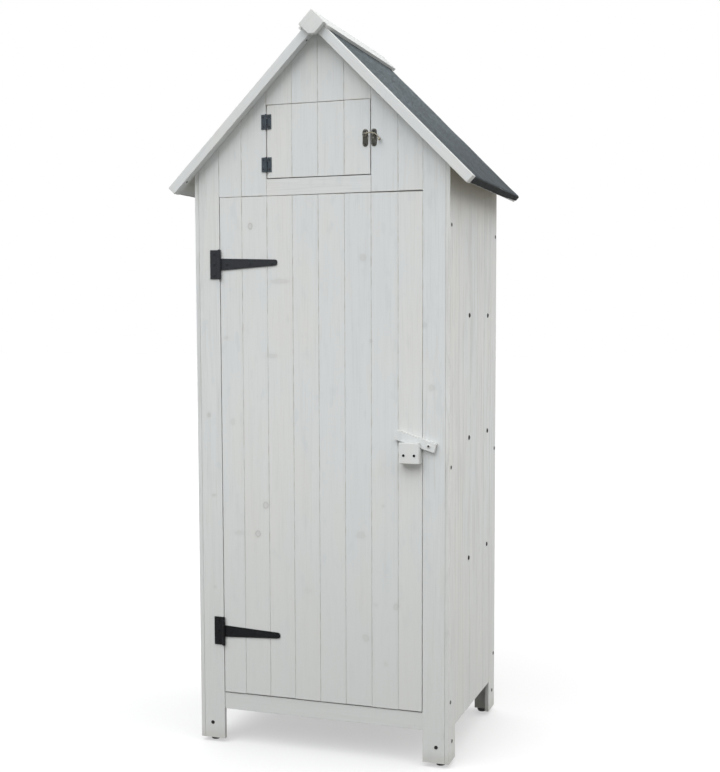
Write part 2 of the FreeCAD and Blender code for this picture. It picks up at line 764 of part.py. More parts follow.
def loft():
    """The loft floor and its two bearers. The front bearer is rebated as the main door's top stop."""
    clear = f"({post_inner} - seat_gap)"
    height = (f"{door_top} - door_stop_overlap", loft_floor_bottom)
    rebated = [
        (f"{panel_front} + stop_gap", height[0]),
        (f"{panel_front} + bearer_thickness", height[0]),
        (f"{panel_front} + bearer_thickness", height[1]),
        (panel_front, height[1]),
        (panel_front, middle_rail_bottom),
        (f"{panel_front} + stop_gap", middle_rail_bottom),
    ]
    front_bearer = prism("front_loft_bearer", "YZ", rebated, f"2 * {clear}", (f"-{clear}", "0", "0"))
    rear_bearer = box("rear_loft_bearer", (f"-{clear}", clear),
                      (f"{panel_back} - bearer_thickness", panel_back), height)
    node("loft_bearers", group("loft_bearers", [front_bearer, rear_bearer]))
    floor_like("loft_floor", f"({panel_front} + stop_gap)", loft_floor_top, "floor_thickness")


def glides():
    """The round plastic glides under the four posts."""
    x = f"({inner_half} - post_size / 2)"
    pieces = []
    for side, sign in (("right", ""), ("left", "-")):
        for end, y in (("front", f"{panel_front} + post_size / 2"), ("rear", f"{panel_back} - post_size / 2")):
            name = f"{end}_{side}_glide"
            foot = cone(name + "_foot", "glide_foot_radius", "glide_radius",
                        (f"{sign}{x}", y, "0"), "glide_foot_height", Rotation())
            disc = rod(name + "_disc", "z", "glide_radius", (f"{sign}{x}", y, "glide_foot_height"),
                       "glide_height - glide_foot_height")
            pieces.append(fuse(name, [foot, disc]))
    node("glides", group("glides", pieces))


# Roof


def slope_strip(name, apex, low, high, depth, start, length):
    """A strip along the right slope, mitred at the ridge.

    It reaches from the ridge to (low, high) along the slope's upper face, and is depth thick
    square to the slope. The end is cut square to the slope.
    """
    points = [
        ("mitre_gap / 2", f"{apex} - mitre_gap / 2 * tan(roof_pitch)"),
        (low, high),
        (f"{low} - {depth} * sin(roof_pitch)", f"{high} - {depth} * cos(roof_pitch)"),
        ("mitre_gap / 2", f"{apex} - {depth} / cos(roof_pitch) - mitre_gap / 2 * tan(roof_pitch)"),
    ]
    return prism(name, "XZ", points, length, ("0", start, "0"))


eave_x = "(roof_width / 2)"
eave_z = f"({felt_apex} - roof_width / 2 * tan(roof_pitch))"


def rafters():
    """Battens under the roof boards, behind the gable boards and in front of the back boards."""
    middle = "mitre_gap / 2"
    end = f"({post_inner} - seat_gap)"
    points = [
        (middle, soffit(middle, "0")),
        (end, soffit(end, "0")),
        (end, f"{soffit(end, '0')} - rafter_depth / cos(roof_pitch)"),
        (middle, f"{soffit(middle, '0')} - rafter_depth / cos(roof_pitch)"),
    ]
    for place_name, start in (("front", panel_front), ("rear", f"{panel_back} - rafter_thickness")):
        right = prism(f"{place_name}_right_rafter", "XZ", points, "rafter_thickness", ("0", start, "0"))
        left = mirrored(f"{place_name}_left_rafter", right)
        node(f"{place_name}_rafters", group(f"{place_name}_rafters", [right, left]))


def roof_boards():
    """Thick boards that run from front to back along each slope, mitred at the ridge."""
    depth = "roof_board_thickness"
    ridge_start = f"(-{depth} * tan(roof_pitch))"
    full_depth = "(felt_thickness + roof_board_thickness)"
    end = f"(roof_width / 2 / cos(roof_pitch) - {full_depth} * tan(roof_pitch) - felt_thickness)"
    count = f"ceil(({end} - {ridge_start}) / roof_board_pitch)"
    row = board_row("roof_row", count, "roof_board_pitch", depth, f"({roof_back} - {front})",
                    (ridge_start, "0", "0"))
    mitre = [
        ("mitre_gap / 2 / cos(roof_pitch)", "0"),
        (end, "0"),
        (end, depth),
        (f"{ridge_start} + mitre_gap / 2 / cos(roof_pitch)", depth),
    ]
    shape = prism("roof_board_shape", "XY", mitre, f"({roof_back} - {front})")
    slab = common("right_slab", row, shape)
    slope = doc.addObject("Part::Compound", "right_slope")
    slope.Links = [slab]
    upright = Rotation(Vector(1, 0, 0), Vector(0, 0, 1), Vector(0, -1, 0), "ZXY")
    place(slope, ("0", "0", "0"), upright)
    right = doc.addObject("Part::Compound", "right_roof_boards")
    right.Links = [slope]
    right.Placement = FreeCAD.Placement(Vector(), Rotation(Vector(0, 1, 0), number("roof_pitch")))
    right.setExpression("Placement.Rotation.Angle", bound("roof_pitch * 1 deg"))
    right.setExpression("Placement.Base.y", bound(roof_back))
    right.setExpression("Placement.Base.z", bound(soffit_apex))
    node("right_roof_boards", right)
    node("left_roof_boards", mirrored("left_roof_boards", right))


def felt():
    """One sheet of mineral felt over the ridge, folded down over the ends of both slopes."""
    sine, cosine = "sin(roof_pitch)", "cos(roof_pitch)"
    fold = (f"({eave_x} - felt_fold * {sine})", f"({eave_z} - felt_fold * {cosine})")
    fold_inside = (f"({fold[0]} - felt_thickness * {cosine})", f"({fold[1]} + felt_thickness * {sine})")
    inside = (f"({eave_x} - felt_thickness * ({cosine} + {sine}))",
              f"({eave_z} + felt_thickness * ({sine} - {cosine}))")
    right = [(eave_x, eave_z), fold, fold_inside, inside]
    left = [(f"-{x}", z) for x, z in reversed(right)]
    points = [("0", felt_apex)] + right + [("0", f"{felt_apex} - felt_thickness / {cosine}")] + left
    node("roof_felt", prism("roof_felt", "XZ", points, f"({roof_back} - {front})", ("0", front, "0")))


def bargeboards():
    """The white strips on the front edges of the roof, mitred at the peak."""
    start = f"({front} - bargeboard_thickness)"
    right = slope_strip("right_bargeboard", felt_apex, eave_x, eave_z, "bargeboard_width",
                        start, "bargeboard_thickness")
    node("right_bargeboard", right)
    node("left_bargeboard", mirrored("left_bargeboard", right))


def ridge_boards():
    """The two boards that cover the ridge, laid on the felt and mitred together."""
    start = f"({front} - bargeboard_thickness)"
    low = "(ridge_board_width * cos(roof_pitch))"
    high = "(total_height - ridge_board_width * sin(roof_pitch))"
    right = slope_strip("right_ridge_board", "total_height", low, high, "ridge_board_thickness",
                        start, f"({back} + ridge_rear_overhang - {start})")
    node("right_ridge_board", right)
    node("left_ridge_board", mirrored("left_ridge_board", right))


def peak_block():
    """The square block on its corner that covers the peak, with its lowest corner cut off."""
    side_x = "(peak_block_side * cos(roof_pitch))"
    side_z = "(total_height - peak_block_side * sin(roof_pitch))"
    flat_x = "(peak_block_clip / tan(roof_pitch))"
    flat_z = "(total_height - 2 * peak_block_side * sin(roof_pitch) + peak_block_clip)"
    points = [
        ("0", "total_height"),
        (side_x, side_z),
        (flat_x, flat_z),
        (f"-{flat_x}", flat_z),
        (f"-{side_x}", side_z),
    ]
    start = f"({front} - bargeboard_thickness - peak_block_thickness)"
    node("peak_block", prism("peak_block", "XZ", points, "peak_block_thickness", ("0", start, "0")))


# Main door


def main_door(bores, block_bores):
    """The door's boards, three ledges inside and two slanting braces between the ledges."""
    count = f"(2 * ceil({door_half} / board_pitch))"
    row = board_row("door_row", count, "board_pitch", "board_thickness", door_height,
                    (f"(-{count} / 2 * board_pitch)", front, door_bottom))
    zone = box("door_zone", (f"-{door_half}", door_half), (front, panel_front), (door_bottom, door_top))
    tools = group("door_bores", bores + block_bores)
    node("door_boards", cut("door_boards", common("door_board_row", row, zone), tools))
    half = f"({door_half} - ledge_inset)"
    depth = (panel_front, f"{panel_front} + ledge_thickness")
    upper = f"({door_top} - upper_hinge_from_top)"
    lower = f"({door_bottom} + lower_hinge_from_bottom)"
    middle = f"(({upper} + {lower}) / 2)"
    ledges = []
    for name, height in (("upper", upper), ("middle", middle), ("lower", lower)):
        levels = (f"{height} - ledge_height / 2", f"{height} + ledge_height / 2")
        ledges.append(box(f"{name}_ledge", (f"-{half}", half), depth, levels))
    node("door_ledges", cut("door_ledges", group("door_ledge_blanks", ledges), group("ledge_bores", bores)))
    braces = []
    for name, low, high in (("lower", lower, middle), ("upper", middle, upper)):
        bottom = f"{low} + ledge_height / 2"
        top = f"{high} - ledge_height / 2"
        points = [
            (f"-{half}", bottom),
            (f"-{half} + brace_width", bottom),
            (half, top),
            (f"{half} - brace_width", top),
        ]
        braces.append(prism(f"{name}_brace", "XZ", points, "ledge_thickness", ("0", panel_front, "0")))
    node("door_braces", group("door_braces", braces))


bar_pivot_x = f"({opening_half} + bar_pivot_from_stile_edge)"
block_right = f"({door_half} - block_inset)"
block_left = f"({block_right} - block_width)"
slot_depth = "(bar_standoff + bar_thickness + slot_play)"
block_depth = f"({slot_depth} + block_front_plate)"
block_bottom = "(latch_height - block_drop)"
slot_floor = (f"(latch_height + ({bar_pivot_x} - {block_right}) * tan(bar_tilt)"
              " - bar_width / 2 / cos(bar_tilt) - slot_clearance)")


def catch_block(bores):
    """A spacer on the door and the square block in front of it, which holds the turn bar."""
    width = (block_left, block_right)
    slot_front = f"({front} - {slot_depth})"
    tools = group("catch_block_bores", bores)
    spacer = box("catch_spacer_blank", width, (slot_front, front), (block_bottom, slot_floor))
    block = box("catch_block_blank", width, (f"{front} - {block_depth}", slot_front),
                (block_bottom, f"{block_bottom} + block_height"))
    node("catch_spacer", cut("catch_spacer", spacer, tools))
    node("catch_block", cut("catch_block", block, tools))


def turn_bar():
    """The tilted wooden bar that turns on a screw in the right stile."""
    left_end = "(-(bar_length - bar_pivot_from_end))"
    points = [
        (left_end, "-bar_width / 2"),
        ("bar_pivot_from_end", "-bar_width / 2"),
        ("bar_pivot_from_end", "bar_width / 2"),
        (left_end, "bar_width / 2"),
    ]
    blank = prism("turn_bar_blank", "XZ", points, "bar_thickness")
    hole = rod("turn_bar_hole", "y", "pivot_screw_radius + pin_play",
               ("0", "-bar_thickness", "0"), "3 * bar_thickness")
    bar = cut("turn_bar", blank, hole)
    bar.Placement = FreeCAD.Placement(Vector(), Rotation(Vector(0, 1, 0), number("bar_tilt")))
    bar.setExpression("Placement.Rotation.Angle", bound("bar_tilt * 1 deg"))
    bar.setExpression("Placement.Base.x", bound(bar_pivot_x))
    bar.setExpression("Placement.Base.y", bound(f"{front} - bar_standoff - bar_thickness"))
    bar.setExpression("Placement.Base.z", bound("latch_height"))
    node("turn_bar", bar)


def pivot_screw():
    """The screw that the turn bar turns on, and its bore in the stile."""
    surface = f"{front} - bar_standoff - bar_thickness - screw_play"
    grip = "(bar_standoff + bar_thickness + screw_play + board_thickness - screw_play)"
    at = (bar_pivot_x, surface, "latch_height")
    node("turn_bar_screw", head_screw("turn_bar_screw", at, PIVOT_SCREW, grip))
    return rod("pivot_bore", "y", "pivot_screw_radius", (bar_pivot_x, front, "latch_height"),
               "board_thickness")


# Loft door


def loft_door(bores):
    """The loft door's boards and the two ledges behind them."""
    count = f"(2 * ceil({loft_half} / board_pitch))"
    row = board_row("loft_row", count, "board_pitch", "board_thickness", "loft_door_height",
                    (f"(-{count} / 2 * board_pitch)", front, loft_bottom))
    zone = box("loft_zone", (f"-{loft_half}", loft_half), (front, panel_front), (loft_bottom, loft_top))
    boards = common("loft_board_row", row, zone)
    node("loft_door_boards", cut("loft_door_boards", boards, group("loft_bores", bores)))
    half = f"({loft_half} - loft_ledge_inset)"
    depth = (panel_front, f"{panel_front} + loft_ledge_thickness")
    ledges = []
    for name, height in (("lower", f"({loft_bottom} + loft_ledge_from_edge)"),
                         ("upper", f"({loft_top} - loft_ledge_from_edge)")):
        levels = (f"{height} - loft_ledge_height / 2", f"{height} + loft_ledge_height / 2")
        ledges.append(box(f"loft_{name}_ledge", (f"-{half}", half), depth, levels))
    node("loft_door_ledges", group("loft_door_ledges", ledges))


def rounded_plate(name, x):
    """An upright plate with round ends on the face of the boards."""
    radius = "latch_plate_width / 2"
    reach = "(latch_plate_height / 2 - latch_plate_width / 2)"
    surface = f"{front} - latch_plate_metal"
    middle = box(name + "_middle", (f"{x} - {radius}", f"{x} + {radius}"), (surface, front),
                 (f"{hook_height} - {reach}", f"{hook_height} + {reach}"))
    ends = [rod(f"{name}_{end}", "y", radius, (x, surface, f"{hook_height} {sign} {reach}"),
                "latch_plate_metal")
            for end, sign in (("top", "+"), ("bottom", "-"))]
    return [middle] + ends


def headed_post(name, x, z):
    """A short post that stands out of a plate, with a wider head."""
    length = "(latch_plate_metal + hook_post_length)"
    post = rod(name + "_stem", "y", "hook_post_radius", (x, f"{front} - {length}", z), length)
    head = rod(name + "_head", "y", "post_head_radius", (x, f"{front} - {length} - post_head_height", z),
               "post_head_height")
    return [post, head]


latch_x = f"({loft_half} - latch_plate_inset)"
catch_x = f"({loft_opening_half} + catch_plate_inset)"
hook_z = f"({hook_height} + hook_post_rise)"
hook_centre_x = f"({latch_x} - hook_radius * cos(hook_start_angle))"
hook_centre_z = f"({hook_z} - hook_radius * sin(hook_start_angle))"
hook_y = f"({front} - latch_plate_metal - hook_post_length / 2)"
keeper_z = (f"({hook_centre_z} + sqrt(hook_radius * hook_radius"
            f" - ({catch_x} - {hook_centre_x}) * ({catch_x} - {hook_centre_x}))"
            " - hook_rod_radius - hook_post_radius - hook_play)")


def latch_plates(latch_bores, catch_bores):
    """The plate on the loft door with the hook's post, and the plate on the frame with the keeper."""
    latch = fuse("latch_solid", rounded_plate("latch", latch_x) + headed_post("latch_post", latch_x, hook_z))
    node("loft_latch_plate", cut("loft_latch_plate", latch, group("latch_bores", latch_bores)))
    catch = fuse("catch_solid", rounded_plate("catch", catch_x) + headed_post("keeper", catch_x, keeper_z))
    node("loft_catch_plate", cut("loft_catch_plate", catch, group("catch_bores", catch_bores)))


def hook():
    """The swinging hook: an eye on the post, an arched rod over the keeper and a round knob."""
    arch = doc.addObject("Part::Torus", "hook_arch")
    arch.setExpression("Radius1", bound("hook_radius"))
    arch.setExpression("Radius2", bound("hook_rod_radius"))
    arch.setExpression("Angle3", bound("hook_start_angle - hook_end_angle"))
    turn_up = Rotation(Vector(1, 0, 0), 90)
    first = Rotation(Vector(0, 0, 1), number("hook_end_angle"))
    arch.Placement = FreeCAD.Placement(Vector(), first)
    arch.setExpression("Placement.Rotation.Angle", bound("hook_end_angle * 1 deg"))
    upright_arch = place(group("hook_arch_upright", [arch]), (hook_centre_x, hook_y, hook_centre_z), turn_up)
    eye = rod("hook_eye", "y", "hook_eye_radius", (latch_x, f"{hook_y} - hook_eye_thickness / 2", hook_z),
              "hook_eye_thickness")
    knob = doc.addObject("Part::Sphere", "hook_knob")
    knob.setExpression("Radius", bound("hook_knob_radius"))
    place(knob, (f"{hook_centre_x} + hook_radius * cos(hook_end_angle)", hook_y,
                 f"{hook_centre_z} + hook_radius * sin(hook_end_angle)"))
    bore = rod("hook_bore", "y", "hook_post_radius + pin_play",
               (latch_x, f"{hook_y} - hook_eye_thickness", hook_z), "2 * hook_eye_thickness")
    node("loft_hook", cut("loft_hook", fuse("hook_solid", [upright_arch, eye, knob]), bore))


def latch_screw_places(x):
    """The two screws of a latch plate, above and below its post."""
    surface = f"{front} - latch_plate_metal"
    return [(x, surface, f"{hook_height} {sign} latch_screw_offset") for sign in ("+", "-")]


def fittings():
    """Hinges, latches and their screws, with the bores that they need in the boards."""
    screws = {"frame": [], "door": [], "loft": []}
    bores = {"stile": [], "door": [], "loft": [], "gable_left": [], "gable_right": []}
    pins = []
    for name, height in (("upper_hinge", f"({door_top} - upper_hinge_from_top)"),
                         ("lower_hinge", f"({door_bottom} + lower_hinge_from_bottom)")):
        pin, plate_screws, plate_bores, strap_screws, strap_bores = strap_hinge(name, height)
        pins.append(pin)
        screws["frame"] += plate_screws
        screws["door"] += strap_screws
        bores["stile"] += plate_bores
        bores["door"] += strap_bores
    leaves = {"frame": [], "door": []}
    for name, height in (("loft_upper_hinge", f"({loft_top} - loft_hinge_from_top)"),
                         ("loft_lower_hinge", f"({loft_bottom} + loft_hinge_from_bottom)")):
        frame_leaf, door_leaf, pin, sets = butt_hinge(name, height)
        leaves["frame"].append(frame_leaf)
        leaves["door"].append(door_leaf)
        pins.append(pin)
        screws["frame"] += sets["frame"][0]
        screws["loft"] += sets["door"][0]
        bores["gable_left"] += sets["frame"][1]
        bores["loft"] += sets["door"][1]
    node("hinge_pins", group("hinge_pins", pins))
    node("loft_hinge_frame_leaves", group("loft_hinge_frame_leaves", leaves["frame"]))
    node("loft_hinge_door_leaves", group("loft_hinge_door_leaves", leaves["door"]))
    latch_screws, latch_bores = screw_set("latch_screw", latch_screw_places(latch_x),
                                          SMALL_SCREW, "small_screw_grip")
    catch_screws, catch_bores = screw_set("catch_screw", latch_screw_places(catch_x),
                                          SMALL_SCREW, "small_screw_grip")
    latch_plates(latch_bores, catch_bores)
    block_x = f"({block_left} + block_width / 2)"
    block_places = [(f"{block_x} {sign} block_screw_spacing / 2", f"{front} - {block_depth}",
                     f"{block_bottom} + block_screw_height") for sign in ("-", "+")]
    block_grip = f"({block_depth} + board_thickness - screw_play)"
    block_screws, block_bores = screw_set("block_screw", block_places, FITTING_SCREW, block_grip)
    node("frame_fitting_screws", group("frame_fitting_screws", screws["frame"] + catch_screws))
    node("door_fitting_screws", group("door_fitting_screws", screws["door"] + block_screws))
    node("loft_fitting_screws", group("loft_fitting_screws", screws["loft"] + latch_screws))
    bores["loft"] += latch_bores
    bores["gable_right"] += catch_bores
    bores["block"] = block_bores
    return bores


def build():
    """Makes every sub-part of the cabinet."""
    wood_bores = cladding_screws()
    fitting_bores = fittings()
    stiles(wood_bores["front"], fitting_bores["stile"], pivot_screw())
    front_rails()
    gable_boards({"left": group("gable_left_bores", fitting_bores["gable_left"]),
                  "right": group("gable_right_bores", fitting_bores["gable_right"])})
    side_walls(wood_bores)
    posts(wood_bores)
    back_wall()
    floor_and_bearers()
    shelves(wood_bores)
    loft()
    glides()
    rafters()
    roof_boards()
    felt()
    bargeboards()
    ridge_boards()
    peak_block()
    main_door(fitting_bores["door"], fitting_bores["block"])
    catch_block(fitting_bores["block"])
    turn_bar()
    loft_door(fitting_bores["loft"])
    hook()


def check_and_write():
    """Stops if anything failed, and then writes each sub-part to its own file."""
    doc.recompute()
    failed = [item.Name for item in doc.Objects if {"Invalid", "Error"} & set(item.State)]
    if failed:
        raise RuntimeError(f"not built: {failed}")
    os.makedirs("parts", exist_ok=True)
    for part in nodes:
        shape = part.Shape
        if shape.isNull() or not shape.isValid() or not shape.Solids:
            raise RuntimeError(f"{part.Label} has no valid solid")
    for part in nodes:
        part.Shape.exportStep(f"parts/{part.Label}.step")
        print(part.Label, len(part.Shape.Solids), "solids")


build()
check_and_write()
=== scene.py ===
# %% [markdown]
# A tall garden cabinet in white painted pine.
#
# This lesson dresses a finished construction model. The frame holds every board, hinge and screw at its
# real size, but with sharp edges and no finish. Each step makes one thing that the real cabinet has as a
# surface worked out with numpy. Places are read from the frame. The few that it doesn't hold, such as the
# knots in the boards, were measured in the photograph.

# %% Load the frame
import json
import math

import bpy
import numpy as np
from mathutils import Matrix, Quaternion, Vector, geometry

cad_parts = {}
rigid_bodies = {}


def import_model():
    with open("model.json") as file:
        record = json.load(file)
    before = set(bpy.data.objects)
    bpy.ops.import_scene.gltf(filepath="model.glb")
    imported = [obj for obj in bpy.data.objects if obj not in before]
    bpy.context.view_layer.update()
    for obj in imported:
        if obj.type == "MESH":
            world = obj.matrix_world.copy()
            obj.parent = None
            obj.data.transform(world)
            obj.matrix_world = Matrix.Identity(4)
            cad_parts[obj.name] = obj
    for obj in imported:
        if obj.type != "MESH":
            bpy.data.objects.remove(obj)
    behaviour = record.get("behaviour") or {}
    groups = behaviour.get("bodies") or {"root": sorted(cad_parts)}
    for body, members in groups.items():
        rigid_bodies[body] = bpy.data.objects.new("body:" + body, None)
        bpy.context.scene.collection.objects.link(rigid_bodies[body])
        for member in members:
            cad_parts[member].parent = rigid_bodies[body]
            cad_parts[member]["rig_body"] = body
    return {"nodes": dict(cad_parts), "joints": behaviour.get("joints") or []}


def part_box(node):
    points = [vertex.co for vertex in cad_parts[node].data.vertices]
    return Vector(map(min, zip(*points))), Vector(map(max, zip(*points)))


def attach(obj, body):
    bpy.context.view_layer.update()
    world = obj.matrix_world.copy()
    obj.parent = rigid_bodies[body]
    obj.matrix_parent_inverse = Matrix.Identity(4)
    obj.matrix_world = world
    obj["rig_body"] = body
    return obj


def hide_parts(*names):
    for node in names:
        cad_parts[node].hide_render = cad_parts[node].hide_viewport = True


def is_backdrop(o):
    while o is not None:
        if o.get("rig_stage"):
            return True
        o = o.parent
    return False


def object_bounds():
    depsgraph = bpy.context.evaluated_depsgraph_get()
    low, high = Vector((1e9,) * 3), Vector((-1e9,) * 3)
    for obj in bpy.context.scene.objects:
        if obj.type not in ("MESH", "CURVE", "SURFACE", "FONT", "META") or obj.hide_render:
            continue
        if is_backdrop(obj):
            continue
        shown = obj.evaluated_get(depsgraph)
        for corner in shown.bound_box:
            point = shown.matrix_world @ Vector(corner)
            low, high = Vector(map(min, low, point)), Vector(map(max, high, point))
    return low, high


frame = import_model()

cad_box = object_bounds()
MM = 0.001
JOINTS = {joint["name"]: joint for joint in frame["joints"]}
print("size of the frame in mm:", [round(side / MM) for side in cad_box[1] - cad_box[0]])

# %% [markdown]
# The camera.
#
# A tall box is nearly always photographed from eye height, a little to one side, so that two walls show.
# The eye's place, three angles and the focal length in pixels were found by matching the corners of the
# cabinet to where they lie in the picture. Its optical axis misses the middle, which the lens shift repeats.

# %% Place the camera
IMAGE_WIDTH = 720
IMAGE_HEIGHT = 772
EYE = Vector((1.0498, -2.9630, 1.0683))
YAW = math.radians(18.824)
PITCH = math.radians(-4.385)
ROLL = math.radians(-0.153)
FOCAL_PIXELS = 1215.46
AXIS_PIXEL = (365.53, 412.95)


def place(name, data):
    """Puts a mesh, camera or lamp into the scene as an object of its own."""
    holder = bpy.data.objects.new(name, data)
    bpy.context.scene.collection.objects.link(holder)
    return holder


lens = bpy.data.cameras.new("photo_lens")
lens.sensor_fit = "HORIZONTAL"
lens.sensor_width = 36
lens.lens = FOCAL_PIXELS / IMAGE_WIDTH * lens.sensor_width
lens.shift_x = (IMAGE_WIDTH / 2 - AXIS_PIXEL[0]) / IMAGE_WIDTH
lens.shift_y = (AXIS_PIXEL[1] - IMAGE_HEIGHT / 2) / IMAGE_WIDTH
camera = place("photo_camera", lens)
stand = Matrix.Translation(EYE)
for angle, axis in ((YAW, "Z"), (math.pi / 2 + PITCH, "X"), (ROLL, "Z")):
    stand = stand @ Matrix.Rotation(angle, 4, axis)
camera.matrix_world = stand
bpy.context.scene.camera = camera
bpy.context.scene.view_settings.view_transform = "Standard"
print("lens", round(lens.lens, 2), "mm, shift", round(lens.shift_x, 4), round(lens.shift_y, 4))

# %% [markdown]
# Short ways to build node trees.
#
# Written out in full, each shader node takes five or six lines and the idea drowns. So what comes out of a
# node is held as a wire, and wires are added and multiplied as numbers are: each sum puts its node into
# the tree that was opened last.

# %% Wires and nodes


class Wire:
    """What comes out of a node. A sum on wires adds the node that works it out to the open tree."""

    tree = None

    def __init__(self, socket):
        self.socket = socket

    def __add__(self, other):
        return number("ADD", self, other)

    def __sub__(self, other):
        return number("SUBTRACT", self, other)

    def __mul__(self, other):
        return number("MULTIPLY", self, other)

    def __truediv__(self, other):
        return number("DIVIDE", self, other)


def plug(node, inputs):
    """Sets each input of a node to a plain value, or links it to a wire."""
    for key, value in inputs.items():
        if isinstance(value, Wire):
            Wire.tree.links.new(value.socket, node.inputs[key])
        else:
            node.inputs[key].default_value = value


def add(kind, inputs=None, **settings):
    """Adds a shader node to the open tree. Returns its outputs as wires, by number and by name."""
    node = Wire.tree.nodes.new("ShaderNode" + kind)
    for key, value in settings.items():
        setattr(node, key, value)
    plug(node, inputs or {})
    wires = [Wire(socket) for socket in node.outputs]
    return {**dict(enumerate(wires)), **{wire.socket.name: wire for wire in wires}}


def number(operation, *values):
    """One sum on numbers."""
    return add("Math", dict(enumerate(values)), operation=operation)[0]


def arrow(operation, *values):
    """One sum on vectors."""
    return add("VectorMath", dict(enumerate(values)), operation=operation)[0]


def most(first, second):
    """The larger of two numbers."""
    return number("MAXIMUM", first, second)


def least(first, second):
    """The smaller of two numbers."""
    return number("MINIMUM", first, second)


def axes_of(vector):
    """The three numbers of a vector."""
    outputs = add("SeparateXYZ", {0: vector})
    return outputs[0], outputs[1], outputs[2]


def stretched(vector, *by):
    """A vector whose three numbers are each multiplied by their own factor."""
    return arrow("MULTIPLY", vector, by)


def fade(value, start, end):
    """0 where the value is at start or before it, 1 at end or past it, and a smooth step between."""
    inputs = {"Value": value, "From Min": start, "From Max": end}
    return add("MapRange", inputs, interpolation_type="SMOOTHSTEP")[0]


def between(share, low, high):
    """A number that goes from low to high as the share goes from 0 to 1."""
    return add("MapRange", {"Value": share, "To Min": low, "To Max": high})[0]


def mixed(share, first, second):
    """The first colour where the share is 0, the second where it is 1."""
    return add("Mix", {0: share, 6: first, 7: second}, data_type="RGBA")[2]


def noise(point, scale, detail=2.0, seed=0.0):
    """Cloudy noise from 0 to 1. The seed picks another piece of the same cloud."""
    inputs = {"Vector": point, "W": seed, "Scale": scale, "Detail": detail}
    return add("TexNoise", inputs, noise_dimensions="4D")[0]


def own(name, kind="Vector"):
    """A vector, or a number with the kind Fac, that a piece carries at each of its points."""
    return add("Attribute", attribute_name=name)[kind]


def material(name):
    """Opens the tree of a new material. Returns the material and its Principled shader."""
    made = bpy.data.materials.new(name)
    made.use_nodes = True
    Wire.tree = made.node_tree
    return made, made.node_tree.nodes["Principled BSDF"]


def set_finish(shader, colour, rough, height, distance, strength, **plain):
    """Wires colour, roughness and relief: a height from 0 to 1 times a distance. Sets plain sockets."""
    normal = add("Bump", {"Height": height, "Distance": distance, "Strength": strength})[0]
    plug(shader, {"Base Color": colour, "Roughness": rough, "Normal": normal})
    plug(shader, {key.replace("_", " "): value for key, value in plain.items()})


def node_group(**kinds):
    """Makes a node group of a function on wires, with an input of the given kind for each argument.

    The function runs once and returns its outputs by name. From then on, calling it adds the group to
    the open tree instead.
    """
    def build(draw):
        tree = Wire.tree = bpy.data.node_groups.new(draw.__name__, "ShaderNodeTree")
        for name, kind in kinds.items():
            tree.interface.new_socket(name=name, in_out="INPUT", socket_type="NodeSocket" + kind)
        results = draw(*map(Wire, list(tree.nodes.new("NodeGroupInput").outputs)[:len(kinds)]))
        for name in results:
            tree.interface.new_socket(name=name, in_out="OUTPUT", socket_type="NodeSocketFloat")
        plug(tree.nodes.new("NodeGroupOutput"), results)
        return lambda *values: add("Group", dict(zip(kinds, values)), node_tree=tree)

    return build


def tint(red, green, blue):
    """A colour as it is seen on a screen, from 0 to 255, turned into the light that a shader works with."""
    seen = np.array([red, green, blue]) / 255
    light = np.where(seen <= 0.04045, seen / 12.92, ((seen + 0.055) / 1.055) ** 2.4)
    return (*light.tolist(), 1.0)


# %% [markdown]
# The light.
#
# Under a real roof edge the wall is darkest, brightens fast at first and then ever more slowly. That tells
# how the light falls: from about halfway up the sky, and from very broad sources. Two such lights stand far
# away, in front and to the right. A weaker one behind and a faint white sky fill in the rest. What the
# camera sees directly, or in a reflection, is pure white, by a switch on the kind of ray.

# %% Sky and lamps
SKY_LIGHT = 0.3
LAMP_DISTANCE = 6
WHITE = (1.0, 1.0, 1.0, 1.0)


def seen_rays():
    """1 on rays that are seen directly, in gloss or through glass, 0 on rays that only carry light."""
    path = add("LightPath")
    return most(most(path["Is Camera Ray"], path["Is Glossy Ray"]), path["Is Transmission Ray"])


world = bpy.data.worlds.new("white_room")
bpy.context.scene.world = world
world.use_nodes = True
Wire.tree = world.node_tree
plug(world.node_tree.nodes["Background"], {"Color": WHITE, "Strength": most(seen_rays(), SKY_LIGHT)})


def broad_light(name, side, rise, width, power, colour):
    """A far light. side turns it to the right of the front, rise lifts it, both in degrees."""
    turn, lift = math.radians(side), math.radians(rise)
    towards = Vector((math.sin(turn) * math.cos(lift), -math.cos(turn) * math.cos(lift), math.sin(lift)))
    light = bpy.data.lights.new(name, "SUN")
    light.angle = math.radians(width)
    light.energy = power
    light.color = colour
    holder = place(name, light)
    holder.location = towards * LAMP_DISTANCE
    holder.rotation_euler = towards.to_track_quat("Z", "Y").to_euler()


broad_light("front_light", -20, 54, 60, 2.5, (0.985, 1.0, 1.01))
broad_light("right_light", 95, 50, 70, 1.94, (1.0, 0.995, 0.98))
broad_light("rear_light", 215, 48, 60, 1.25, (1.0, 1.0, 1.0))

# %% [markdown]
# The floor.
#
# A white sheet that runs far past the picture takes the cabinet's shadow. A little glow, only where it is
# seen directly, lifts the lit part to pure white, so that floor and sky meet without a line. For the light
# that it throws back up it is a mid grey, or else the undersides of the roof would be too pale.

